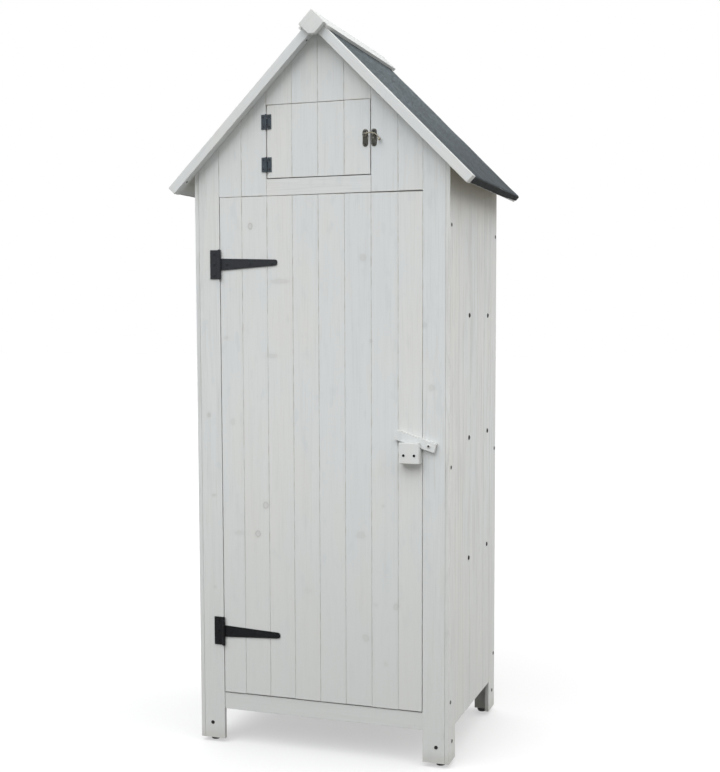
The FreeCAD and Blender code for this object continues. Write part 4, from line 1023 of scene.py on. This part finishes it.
# %% [markdown]
# Tongue and groove boards.
#
# The walls and doors are matched boards: a tongue on one side, a groove on the other and small bevels that
# make a V at every seam. A wall is described by three directions, across, into the wall and up, so that one
# outline serves all four walls. Each board's sides are read from its solid: the points on its face end a
# bevel's width short of a seam, or right at the side where it was sawn. Its ends follow straight lines, so
# that boards under the roof can slope. No two boards are nailed quite level: each lies up to a third of a
# millimetre deep and is cut a hair short.

# %% One matched board
BEVEL = 1.2 * MM
SAWN = 0.8 * MM
TONGUE = 4.0 * MM
TONGUE_HALF = 1.6 * MM
PLAY = 0.2 * MM
SEAM_FILL = 0.15 * MM
FACE_SOFT = 0.45 * MM
BACK_SOFT = 0.4 * MM
END_EASE = 0.5 * MM
HAND_CUT = np.array([0.3, 0.5, 0.4]) * MM
TOUCH = 0.05 * MM
WALLS = {
    "front": ((1, 0, 0), (0, 1, 0), (0, 0, 1)),
    "right": ((0, 1, 0), (-1, 0, 0), (0, 0, 1)),
    "back": ((-1, 0, 0), (0, -1, 0), (0, 0, 1)),
    "left": ((0, -1, 0), (1, 0, 0), (0, 0, 1)),
}


def slope_line(local, pick):
    """The straight line that an end of a board follows, from its lowest to its highest place across."""
    across = local[:, 0]
    first, last = across.min(), across.max()
    start = pick(local[across < first + TOUCH, 2])
    end = pick(local[across > last - TOUCH, 2])
    return lambda u: start + (u - first) / (last - first) * (end - start)


def side_corners(side, out, bevel, thick, step):
    """One side of a board from its face to its back: place across, depth and how soft each corner is.

    side is where it lies across and out is 1 or -1 for the way it faces. step is how far its tongue
    stands out, less than 0 for a groove and 0 where it was sawn.
    """
    play = PLAY if step < 0 else 0.0
    low, high = thick / 2 - TONGUE_HALF - play, thick / 2 + TONGUE_HALF + play
    tip = side + out * step
    middle = [(side, low, 0.0), (tip, low, 0.0), (tip, high, 0.0), (side, high, 0.0)] if step else []
    return [(side - out * bevel, 0, FACE_SOFT), (side, bevel, FACE_SOFT), *middle, (side, thick, BACK_SOFT)]


def matched_board(points, wall, uneven):
    """A matched board in place of a sharp one. uneven is how far it may lie deep and be cut short."""
    axes = np.array(WALLS[wall], float)
    local = points @ axes.T
    low, high = local.min(axis=0), local.max(axis=0)
    on_face = local[local[:, 1] < low[1] + TOUCH]
    ends, sides = [], []
    for out, edge, outer in ((-1, on_face[:, 0].min(), low[0]), (1, on_face[:, 0].max(), high[0])):
        sawn = out * (outer - edge) < TOUCH
        ends.append(edge if sawn else edge + out * (BEVEL + SEAM_FILL))
        blunt = 0.0 if sawn else -TONGUE - 2 * PLAY
        step = TONGUE if out * (outer - ends[-1]) > TOUCH else blunt
        sides.append(side_corners(ends[-1], out, SAWN if sawn else BEVEL, high[1] - low[1], step))
    outline = np.array(sides[1] + sides[0][::-1])
    bottom, top = slope_line(on_face, np.min), slope_line(on_face, np.max)
    sunk, lower, upper = dice.random(3) * uneven
    rings = bar_rings(outline[:, :2], outline[:, 2], END_EASE,
                      lambda u: np.maximum(bottom(u), low[2]) + lower,
                      lambda u: np.minimum(top(u), high[2]) - upper)
    rings[..., 1] += low[1] + sunk
    made = part(rings @ axes, axes)
    made["half"][0] = (ends[1] - ends[0]) / 2
    made["place"][:, 0] = made["points"] @ axes[0] - (ends[0] + ends[1]) / 2
    return made


def matched_boards(node, wall, uneven=HAND_CUT):
    """All matched boards of a frame node."""
    return [matched_board(solid, wall, uneven) for solid in solids_of(node)]


# %% [markdown]
# How a door hangs.
#
# The frame gives both doors the same gap all round. A real door is planed by hand until it swings freely,
# so its gaps are never even. The boards' outer edges are therefore moved a little, by amounts that change
# along each edge.

# %% Doors and walls
EDGE_ZONE = 3.0 * MM
DOOR_CUT = np.array([0.3, 1.3, 0.3]) * MM


def hung(boards, left, right, top):
    """Moves the outer edges of a door outwards, in millimetres.

    left is one distance. right is a pair, at the foot and at the head. top is a pair too, at the left and
    at the right end, and goes from one to the other with the square of the way across.
    """
    points = np.concatenate([item["points"] for item in boards])
    low, high = points.min(axis=0), points.max(axis=0)
    for item in boards:
        x, _, z = item["points"].T
        across, up = (x - low[0]) / (high[0] - low[0]), (z - low[2]) / (high[2] - low[2])
        outwards = (x > high[0] - EDGE_ZONE) * (right[0] + up * (right[1] - right[0]))
        outwards = outwards - (x < low[0] + EDGE_ZONE) * left
        upwards = (z > high[2] - EDGE_ZONE) * (top[0] + across ** 2 * (top[1] - top[0]))
        item["points"] = item["points"] + np.stack([outwards, 0 * x, upwards], axis=1) * MM
    return boards


main_door = hung(matched_boards("door_boards", "front", DOOR_CUT), 0.5, (0.3, 1.7), (1.6, -0.5))
painted("door_boards", main_door, DOOR_PAINT)
for node in ("gable_boards_left", "gable_boards_middle", "gable_boards_right"):
    painted(node, matched_boards(node, "front"), TRIM_PAINT)
loft_door = hung(matched_boards("loft_door_boards", "front"), 0.0, (0.1, 0.4), (1.6, 1.6))
painted("loft_door_boards", loft_door, TRIM_PAINT)
painted("right_side_boards", matched_boards("right_side_boards", "right"), WALL_PAINT)
painted("left_side_boards", matched_boards("left_side_boards", "left"), WALL_PAINT)
painted("back_boards", matched_boards("back_boards", "back"), PLAIN_PAINT)

# %% [markdown]
# Floor, shelves and roof boards.
#
# These keep the frame's own shapes, which already have their tongues and bevels. Only their finish is new.
# The boards of the floor and shelves lie across the cabinet, the roof boards run from front to back.

# %% Finish of the boards that stay
FLOOR_PITCH = 66.5 * MM
ROOF_PITCH = 91 * MM
front_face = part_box("bottom_rail")[0].y
back_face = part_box("back_boards")[1].y
slope = math.sqrt(0.5)
shelf_paint = laid_boards("white_paint_floors", (0, 1, 0), (1, 0, 0), FLOOR_PITCH, back_face)
level_boards = ("floor_boards", "loft_floor", "lower_shelf", "middle_shelf", "upper_shelf")
staying = dict.fromkeys(level_boards, shelf_paint)
for side, way in (("right", slope), ("left", -slope)):
    staying[side + "_roof_boards"] = laid_boards(f"white_paint_{side}_slope", (way, 0, -slope), (0, 1, 0),
                                                 ROOF_PITCH, 0.0)
for node, finish in staying.items():
    for holder in frame["nodes"][node].material_slots:
        holder.material = finish

# %% [markdown]
# The felt.
#
# One sheet lies over both slopes, bent over the ridge and folded down over the ends of the roof boards. Its
# line is an open path with rounded bends. The path gives one direction of a grid and the depth of the roof
# the other. Felt never lies quite flat, so each point is lifted by a few slow waves, and the underside is
# the same grid moved inwards. The folded hem hangs a little unevenly and is shorter at the back.

# %% Felt sheet
FELT_THICK = 2.0 * MM
FELT_FOLD = 14.0 * MM
FELT_BENDS = np.array([0, 1, 1, 1, 0]) * 3.0 * MM
BEND_STEPS = 6
FELT_WAVE = 0.35 * MM
FELT_SPARE = 4.4 * MM
SHORT_BEHIND = 0.16
FOLD_SHARE = 0.024
FELT_ALONG = 96
FELT_STATIONS = 60


def even_path(path, count):
    """Points at even steps along a line."""
    walked = np.concatenate([[0], np.cumsum(np.linalg.norm(np.diff(path, axis=0), axis=1))])
    wanted = np.linspace(0, walked[-1], count)
    return np.stack([np.interp(wanted, walked, path[:, axis]) for axis in (0, 1)], axis=1)


def felt_sheet():
    """The felt as one closed skin, and its place along the slopes, through it and from front to back.

    With s from -1 to 1 along the line and y into the depth, the surface is the line moved by a wave, a
    sum of three sines of s and y that fades out at the ridge and the eaves. Past the fold it hangs on by
    a ragged amount.
    """
    low, high = box_of("roof_felt")
    fold = FELT_FOLD * slope
    eave = (high[0], high[2] - high[0])
    right = [(0.0, high[2]), eave, (eave[0] - fold, eave[1] - fold)]
    corners = np.array([(-x, z) for x, z in right[:0:-1]] + right)
    line = even_path(softened(corners, FELT_BENDS, BEND_STEPS), FELT_ALONG * 2 + 1)
    tangent = unit(np.gradient(line, axis=0))
    normal = np.stack([-tangent[:, 1], tangent[:, 0]], axis=1)
    depth = np.linspace(low[1], high[1], FELT_STATIONS)
    s, y = np.meshgrid(np.linspace(-1, 1, len(line)), depth, indexing="ij")
    wave = np.sin(17 * s + 11 * y) + 0.7 * np.sin(31 * s - 23 * y + 1.3) + 0.4 * np.sin(9 * s + 41 * y)
    calm = np.clip((1 - np.abs(s)) * 12, 0, 1) * np.clip(np.abs(s) * 6, 0, 1)
    sink = FELT_WAVE * calm * (wave - 2.1)
    past = np.clip((np.abs(s) - 1 + FOLD_SHARE) / FOLD_SHARE, 0, 1)
    ragged = 0.6 * np.sin(53 * y) + 0.5 * np.sin(119 * y + s) + 0.3 * np.sin(307 * y)
    reaching = past * (FELT_SPARE * np.clip((high[1] - y) / SHORT_BEHIND, 0, 1) + FELT_WAVE * ragged)
    droop = np.stack([-np.sign(s), -np.ones_like(s)], axis=-1) * slope * reaching[..., None]
    outer = line[:, None] + normal[:, None] * sink[..., None] + droop
    inner = (line - normal * FELT_THICK)[:, None] + droop
    rings = np.concatenate([outer, inner[::-1]])
    depths = np.concatenate([y, y[::-1]])
    made = part(np.stack([rings[..., 0], depths, rings[..., 1]], axis=-1).transpose(1, 0, 2))
    half = np.array([high[0] / slope, FELT_THICK / 2, np.ptp(depth) / 2])
    across = np.concatenate([s, s[::-1]]) * half[0]
    through = np.concatenate([s * 0 + 1, s * 0 - 1]) * half[1]
    place_of_points = np.stack([across, through, depths - depth.mean()], axis=-1)
    made["place"] = place_of_points.transpose(1, 0, 2).reshape(-1, 3)
    made["half"] = half
    return made


piece("grit_covered_roof_felt", [felt_sheet()], mineral_felt("slate_grit_felt"), "mineral_felt", "roof_felt")

# %% [markdown]
# Turned bodies and screws.
#
# A screw head, a hinge pin, a post or a glide is a profile spun about a line: ring j has the radius and the
# height of profile point j. A cross recess is cut by lowering the rings of a head's top: at each point the
# depth is how far it lies inside either arm of the cross.

# %% Turned bodies
SEGMENTS = 32
ARM_HALF = 0.15
ARM_LENGTH = 0.62
ARM_SIDE = 0.45
ARM_END = 0.2
UP = (0, 0, 1)
FORWARDS = (0, -1, 0)


def circle(count):
    """Even angles round a full turn."""
    return np.arange(count) / count * 2 * np.pi


def turned(profile, segments=SEGMENTS, scale=(1, 1)):
    """Rings about the third axis from a profile of (radius, height) pairs, each times its own scale."""
    angle = circle(segments)
    radius, height = (np.array(profile, float) * scale).T[:, :, None]
    return np.stack([radius * np.cos(angle), radius * np.sin(angle), height + 0 * angle], axis=-1)


def cross_recess(rings, radius, depth, floor):
    """Lowers what lies above a floor height by a cross-shaped recess with sloping sides."""
    x, y, z = (rings[..., axis] for axis in range(3))

    def arm(along, across):
        wide = np.clip((1 - np.abs(across) / (ARM_HALF * radius)) / ARM_SIDE, 0, 1)
        return wide * np.clip((1 - np.abs(along) / (ARM_LENGTH * radius)) / ARM_END, 0, 1)

    cut = depth * np.maximum(arm(x, y), arm(y, x))
    rings[..., 2] = np.where(z > floor, z - cut, z)
    return rings


def set_at(rings, at, out, spin=0.0, wrap=False):
    """A part of rings that are spun about their third axis, turned to face out and moved to a place."""
    turn = Vector(out).to_track_quat("Z", "Y") @ Quaternion((0, 0, 1), spin)
    return part(rings @ np.array(turn.to_matrix()).T + np.array(at), wrap=wrap)


# %% Screws
POST_HEAD_SIZE = (4.7 * MM, 1.5 * MM)
SHELF_HEAD_SIZE = (5.8 * MM, 2.5 * MM)
POST_ZONE = 60 * MM
HALF_HEIGHT = (0.5, 0.9)
EAVE_SCREWS = 1287 * MM
WALL_ENDS = (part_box("front_right_leg_board")[0].y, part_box("rear_right_leg_board")[1].y)
SCREW_HEIGHTS = (1.4 * MM, 0.9 * MM)
PIVOT_HEIGHTS = (1.8 * MM, 0)
LARGE_HEAD = 2.5 * MM
CROWN_STEPS = 10


def crown(radius, height, start, first, last):
    """The round top of a head: an arc from one angle to another that starts at a share of its height."""
    return [(radius * math.cos(t), height * (start + (1 - start) * math.sin(t)))
            for t in np.linspace(first, last, CROWN_STEPS)]


def wall_head(radius, rise):
    """A raised countersunk head: a cone in the wood, a thin rim and a dome with its recess above it."""
    profile = [(0.5 * radius, -0.5 * radius), (0.97 * radius, -0.02 * radius), (radius, 0.1 * rise),
               *crown(radius, rise, 0.2, 0.1, 1.48)]
    return cross_recess(turned(profile), radius, 0.9 * rise, 0.3 * rise)


def pan_head(radius, height):
    """A standing head: a flat seat, a round shoulder and a low crown with its recess."""
    profile = [(0.4 * radius, 0.0), (0.96 * radius, 0.0), (radius, 0.12 * height),
               *crown(radius, height, 0.35, 0.05, 1.47)]
    return cross_recess(turned(profile), radius, 0.6 * height, 0.4 * height)


def side_and_eave_screws():
    """The dark screws of both sides and of the front feet, each faced out of its own wall.

    Those that hold the shelves, away from the posts, are stouter and stand further out. The second list
    has one more head on each post, under the eaves, straight above the one at half height.
    """
    walls, eaves = [], []
    for low, high, middle in boxes_of("cladding_screws"):
        at, out = (middle[0], low[1]), FORWARDS
        if high[0] - low[0] > high[1] - low[1]:
            out = (math.copysign(1, middle[0]), 0, 0)
            at = (high[0] if out[0] > 0 else low[0], middle[1])
        on_post = min(abs(middle[1] - end) for end in WALL_ENDS) < POST_ZONE
        head = wall_head(*(POST_HEAD_SIZE if on_post else SHELF_HEAD_SIZE))
        walls.append(set_at(head, (*at, middle[2]), out, dice.random() * 3))
        if on_post and HALF_HEIGHT[0] < middle[2] < HALF_HEIGHT[1]:
            eaves.append(set_at(head, (*at, EAVE_SCREWS), out, dice.random() * 3))
    return walls, eaves


def standing_screws(node, heights=SCREW_HEIGHTS):
    """Screws whose heads stand on a fitting, all facing forwards. Large heads take the first height."""
    made = []
    for low, high, middle in boxes_of(node):
        radius = (high[0] - low[0]) / 2
        tall = heights[0] if radius > LARGE_HEAD else heights[1]
        at = (middle[0], low[1] + tall, middle[2])
        made.append(set_at(pan_head(radius, tall), at, FORWARDS, dice.random() * 3))
    return made


wall_heads, eave_heads = side_and_eave_screws()
piece("dark_wall_screws", wall_heads, ZINC, "dark_screws", "cladding_screws")
piece("dark_eave_screws", eave_heads, ZINC, "dark_screws", body="cabinet")
for node, finish in (("frame_fitting_screws", BLACK_IRON), ("door_fitting_screws", BLACK_IRON),
                     ("loft_fitting_screws", ZINC)):
    piece("dark_" + node, standing_screws(node), finish, "dark_screws", node)
pivot_screw = standing_screws("turn_bar_screw", PIVOT_HEIGHTS)
piece("painted_pivot_screw", pivot_screw, PAINTED_SCREW, "dark_screws", "turn_bar_screw")

# %% [markdown]
# Nails under the roof's edge.
#
# The left strip of trim is fixed from below with two round nails. Their small flat heads lie on its
# underside, which faces down and to the right.

# %% Nail heads
NAIL_RADIUS = 2.6 * MM
NAIL_PLACES = (-22 * MM, -340 * MM)
NAIL_PROFILE = [(0.3, -0.3), (1.0, -0.3), (1.0, 0.1), (0.85, 0.3), (0.4, 0.36)]
trim_low, trim_high = box_of("left_bargeboard")
trim_points = solids_of("left_bargeboard")[0]
trim_rise = (trim_points[:, 2] - trim_points[:, 0]).min()
nail_head = turned(NAIL_PROFILE, 24, NAIL_RADIUS)
nails = [set_at(nail_head, (x, (trim_low[1] + trim_high[1]) / 2, x + trim_rise), (slope, 0, -slope))
         for x in NAIL_PLACES]
piece("dark_trim_nails", nails, ZINC, "dark_screws", body="cabinet")

# %% [markdown]
# Hinges.
#
# The main door hangs on two long strap hinges: an upright plate on the frame, a tapering strap on the door
# and a barrel between them. The loft door has two small butt hinges made the same way. Sheet metal is
# rolled round the pin to make the barrel, so a knuckle is one outline: along the back of the leaf, round
# the pin and back along its front.

# %% Hinge parts
HINGE_METAL = 2.0 * MM
BUTT_METAL = 1.4 * MM
HINGE_PLAY = 0.4 * MM
HAIR = 0.05 * MM
STUB = 1.4 * MM
KNUCKLE_EASE = 0.25 * MM
ROLL_STEPS = 26


def plate(corners, radii, metal, ease, steps=4):
    """A flat plate with softened corners, drawn on the wall (x, z) and as thick as its metal."""
    flat = turned_left(np.array(corners)[:, ::-1])
    rings = bar_rings(flat, np.array(radii) * MM, ease * MM, front_face - metal, front_face, steps)
    return part(in_order(rings, "y"))


def oblong(left, right, low, high):
    """The corners of an upright oblong."""
    return [(left, low), (right, low), (right, high), (left, high)]


def knuckle(pin, radius, side, metal, low, high):
    """A rolled knuckle about an upright pin, with a stub of its leaf on one side (-1 left, 1 right).

    The stub is a hair thinner than the plate that it runs into, so that their faces don't coincide.
    """
    front, back = front_face - metal + HAIR - pin[1], front_face - pin[1]
    turn = np.linspace(math.pi - math.asin(front / radius), 2.5 * math.pi, ROLL_STEPS)
    rolled = np.stack([np.cos(turn), np.sin(turn)], axis=1) * radius
    stub = radius + STUB
    outline = np.concatenate([[(-stub, back), (-stub, front)], rolled, [(radius * 0.1, back - HAIR)]])
    outline = turned_left(outline * (-side, 1)) + pin
    return part(bar_rings(outline, np.zeros(len(outline)), KNUCKLE_EASE, low, high))


def frame_leaf(low, high, pin, metal, gap):
    """The leaf on the frame: its plate and the knuckles below and above the gap for the middle one."""
    radius = high[0] - pin[0]
    corners = oblong(low[0], pin[0] - radius - HINGE_PLAY, low[2], high[2])
    return [plate(corners, [1.2, 0.3, 0.3, 1.2], metal, 0.35),
            knuckle(pin, radius, -1, metal, low[2], gap[0] - HINGE_PLAY),
            knuckle(pin, radius, -1, metal, gap[1] + HINGE_PLAY, high[2])]


# %% Strap hinges of the main door
main_pin = JOINTS["main_door_hinge"]["pos_m"][:2]
STRAP_TIP = 7.0
STRAP_LIFT = {"upper": 2.6 * MM, "lower": 0.0}


def strap(low, high, radius, lift):
    """The tapering strap with its round tip, which may lie a little too high, and its knuckle."""
    start, end = main_pin[0] + radius + HINGE_PLAY, high[0]
    middle, tip = (low[2] + high[2]) / 2, STRAP_TIP * MM
    corners = [(start, low[2]), (end, middle - tip + lift), (end, middle + tip + lift), (start, high[2])]
    return [plate(corners, [0.4, STRAP_TIP * 0.98, STRAP_TIP * 0.98, 0.4], HINGE_METAL, 0.4, 8),
            knuckle(main_pin, radius, 1, HINGE_METAL, low[2], high[2])]


for level, lift in STRAP_LIFT.items():
    leaf_low, leaf_high = box_of(f"{level}_hinge_plate")
    low, high = box_of(f"{level}_hinge_strap")
    leaf = frame_leaf(leaf_low, leaf_high, main_pin, HINGE_METAL, (low[2], high[2]))
    piece(f"iron_{level}_plate", leaf, BLACK_IRON, "black_ironwork", f"{level}_hinge_plate")
    long_leaf = strap(low, high, leaf_high[0] - main_pin[0], lift)
    piece(f"iron_{level}_strap", long_leaf, BLACK_IRON, "black_ironwork", f"{level}_hinge_strap")

# %% Butt hinges of the loft door
loft_pin = JOINTS["loft_door_hinge"]["pos_m"][:2]
BUTT_KNUCKLE = 14.0 * MM
frame_leaves, door_leaves = [], []
for low, high, middle in boxes_of("loft_hinge_frame_leaves"):
    barrel = high[0] - loft_pin[0]
    ends = (middle[2] - BUTT_KNUCKLE / 2, middle[2] + BUTT_KNUCKLE / 2)
    frame_leaves += frame_leaf(low, high, loft_pin, BUTT_METAL, ends)
    corners = oblong(loft_pin[0] + barrel + HINGE_PLAY, 2 * loft_pin[0] - low[0], low[2], high[2])
    door_leaves.append(plate(corners, [0.3, 1, 1, 0.3], BUTT_METAL, 0.3))
    door_leaves.append(knuckle(loft_pin, barrel, 1, BUTT_METAL, *ends))
piece("slate_loft_frame_leaves", frame_leaves, SLATE_IRON, "black_ironwork", "loft_hinge_frame_leaves")
piece("slate_loft_door_leaves", door_leaves, SLATE_IRON, "black_ironwork", "loft_hinge_door_leaves")

# %% Hinge pins
PIN_HEAD = 1.0 * MM
PIN_STEM = 0.62
PIN_CAP = np.array([(0.3, 0.0), (0.75, 0.06), (0.97, 0.4), (1.0, 1.0)])


def hinge_pin(low, high, middle):
    """A pin with a small rounded head at each end."""
    radius, length = (high[0] - low[0]) / 2, high[2] - low[2]
    foot = PIN_CAP * (radius, PIN_HEAD)
    head = (foot * (1, -1) + (0, length))[::-1]
    stem = [(PIN_STEM * radius, PIN_HEAD), (PIN_STEM * radius, length - PIN_HEAD)]
    return set_at(turned([*foot, *stem, *head], 24), (middle[0], middle[1], low[2]), UP)


pins = [hinge_pin(*box) for box in boxes_of("hinge_pins")]
piece("iron_hinge_pins", pins, BLACK_IRON, "black_ironwork", "hinge_pins")

# %% [markdown]
# The hook of the loft door.
#
# Two small domed plates with round ends carry a post each, turned with a collar and a button head. A hook
# turns on the left post, arches over the right one, thins towards its tip and ends in a little ball.

# %% Latch plates and posts
PLATE_METAL = 1.5 * MM
PLATE_SIDES = 48
DOME_HEIGHTS = np.array([0.0, 0.45, 0.75, 0.92, 1.0, 1.0])
DOME_DRAWS = np.array([0.0, 0.0, 0.05, 0.14, 0.3, 0.55])
POST_RADIUS = 2.2 * MM
POST_HEAD = 3.6 * MM
POST_FOOT = np.array([(1.7, 0.0), (1.65, 0.5), (1.25, 1.1), (1.0, 1.6)]) * (POST_RADIUS, MM)
POST_BUTTON = np.array([(0.9, 1.5), (1.0, 1.1), (0.95, 0.55), (0.7, 0.15), (0.3, 0.0)]) * (POST_HEAD, -MM)
NECK_END = 1.7 * MM


def domed_plate(low, high):
    """A plate with round ends: upright sides, a soft shoulder and a face that rises to the middle."""
    half = (high[0] - low[0]) / 2
    turn = circle(PLATE_SIDES) + np.pi / PLATE_SIDES
    lift = ((high[2] - low[2]) / 2 - half) * np.sign(np.sin(turn))
    draws = DOME_DRAWS[:, None]
    middle = (low + high) / 2
    x = middle[0] + half * (1 - draws) * np.cos(turn)
    z = middle[2] + half * (1 - draws) * np.sin(turn) + lift * (1 - 0.3 * draws)
    y = front_face - PLATE_METAL * DOME_HEIGHTS[:, None] + 0 * turn
    return part(np.stack([x, y, z], axis=-1))


def post(node):
    """A turned post on a plate: a collar at its foot, a slim neck and a button head at its tip."""
    points = solids_of(node)[0]
    tip = points[:, 1].min()
    end = points[points[:, 1] < tip + TOUCH]
    at = (end[:, 0].mean(), front_face - PLATE_METAL * 0.8, (end[:, 2].min() + end[:, 2].max()) / 2)
    length = at[1] - tip
    profile = [*POST_FOOT, (POST_RADIUS, length - NECK_END), *(POST_BUTTON + (0, length))]
    return set_at(turned(profile), at, FORWARDS)


for node in ("loft_latch_plate", "loft_catch_plate"):
    turned_post = post(node)
    piece("bronze_" + node, [domed_plate(*box_of(node)), turned_post], BRONZE, "bronzed_brass", node)

# %% Hook
HOOK_RADIUS = 24.2 * MM
HOOK_START = math.radians(124.5)
HOOK_END = math.radians(21)
HOOK_STEPS = 40
ROD = 1.8 * MM
ROD_SIDES = 20
EYE_INNER = 2.25 * MM
EYE_OUTER = 4.4 * MM
EYE_THICK = 3.6 * MM
KNOB = 3.8 * MM


def tube(path, normals, radii):
    """Rings about a flat path in x and z: each is a circle between the path's own normal and the y axis."""
    angle = circle(ROD_SIDES)[:, None, None]
    ring = np.cos(angle) * normals + np.sin(angle) * np.array([0.0, 1.0, 0.0])
    return (path + ring * radii[:, None]).transpose(1, 0, 2)


def hook_parts():
    """The eye as a ring of round section, the arched rod, and the ball with a small collar."""
    x, y, z = JOINTS["loft_hook_pivot"]["pos_m"]
    section = circle(16)
    middle, wide = (EYE_INNER + EYE_OUTER) / 2, (EYE_OUTER - EYE_INNER) / 2
    loop = np.stack([middle + wide * np.cos(section), EYE_THICK / 2 * np.sin(section)], axis=1)
    eye = set_at(turned(loop), (x, y, z), FORWARDS, wrap=True)
    centre = np.array([x - HOOK_RADIUS * math.cos(HOOK_START), y, z - HOOK_RADIUS * math.sin(HOOK_START)])
    inner = math.asin(EYE_INNER * 1.35 / HOOK_RADIUS)
    turn = np.linspace(HOOK_START - inner, HOOK_END, HOOK_STEPS)
    normals = np.stack([np.cos(turn), 0 * turn, np.sin(turn)], axis=1)
    share = np.linspace(0, 1, HOOK_STEPS)
    radii = ROD * (1.0 - 0.22 * share + 0.12 * np.exp(-((share - 1) / 0.04) ** 2))
    rod = part(tube(centre + HOOK_RADIUS * normals, normals, radii))
    onward = (math.sin(HOOK_END), 0, -math.cos(HOOK_END))
    ball = [(KNOB * math.sin(t), -KNOB * math.cos(t)) for t in np.linspace(0.12, math.pi - 0.12, 14)]
    return [eye, rod, set_at(turned(ball, 28), centre + HOOK_RADIUS * normals[-1], onward)]


piece("bronze_loft_hook", hook_parts(), BRIGHT_BRONZE, "bronzed_brass", "loft_hook")

# %% [markdown]
# Glides.
#
# Each foot stands on a black plastic glide, nailed up from below: a wide disc with a rounded shoulder and
# a slightly smaller base that meets the ground.

# %% Glides under the feet
GLIDE_PROFILE = [(0.2, 0.06), (0.3, 0.0), (0.78, 0.0), (0.84, 0.05), (0.87, 0.2), (0.95, 0.32), (0.99, 0.42),
                 (1.0, 0.55), (1.0, 0.9), (0.97, 0.98), (0.9, 1.0), (0.4, 1.0)]
glides = []
for low, high, middle in boxes_of("glides"):
    rings = turned(GLIDE_PROFILE, 40, ((high[0] - low[0]) / 2, high[2] - low[2]))
    glides.append(set_at(rings, (middle[0], middle[1], low[2]), UP))
piece("black_glides", glides, PLASTIC, "glide_plastic", "glides")

# %% [markdown]
# Sizes and the end.
#
# The dressed cabinet must stay the size that the frame gives it. How far it has grown past the frame's box
# is printed, so that this can be compared after each change.

# %% Print how far the sizes grew
visual_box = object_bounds()
grown = [[round((b - a) / MM, 2) for a, b in zip(*pair)] for pair in zip(cad_box, visual_box)]
print("grown by, in mm:", grown)
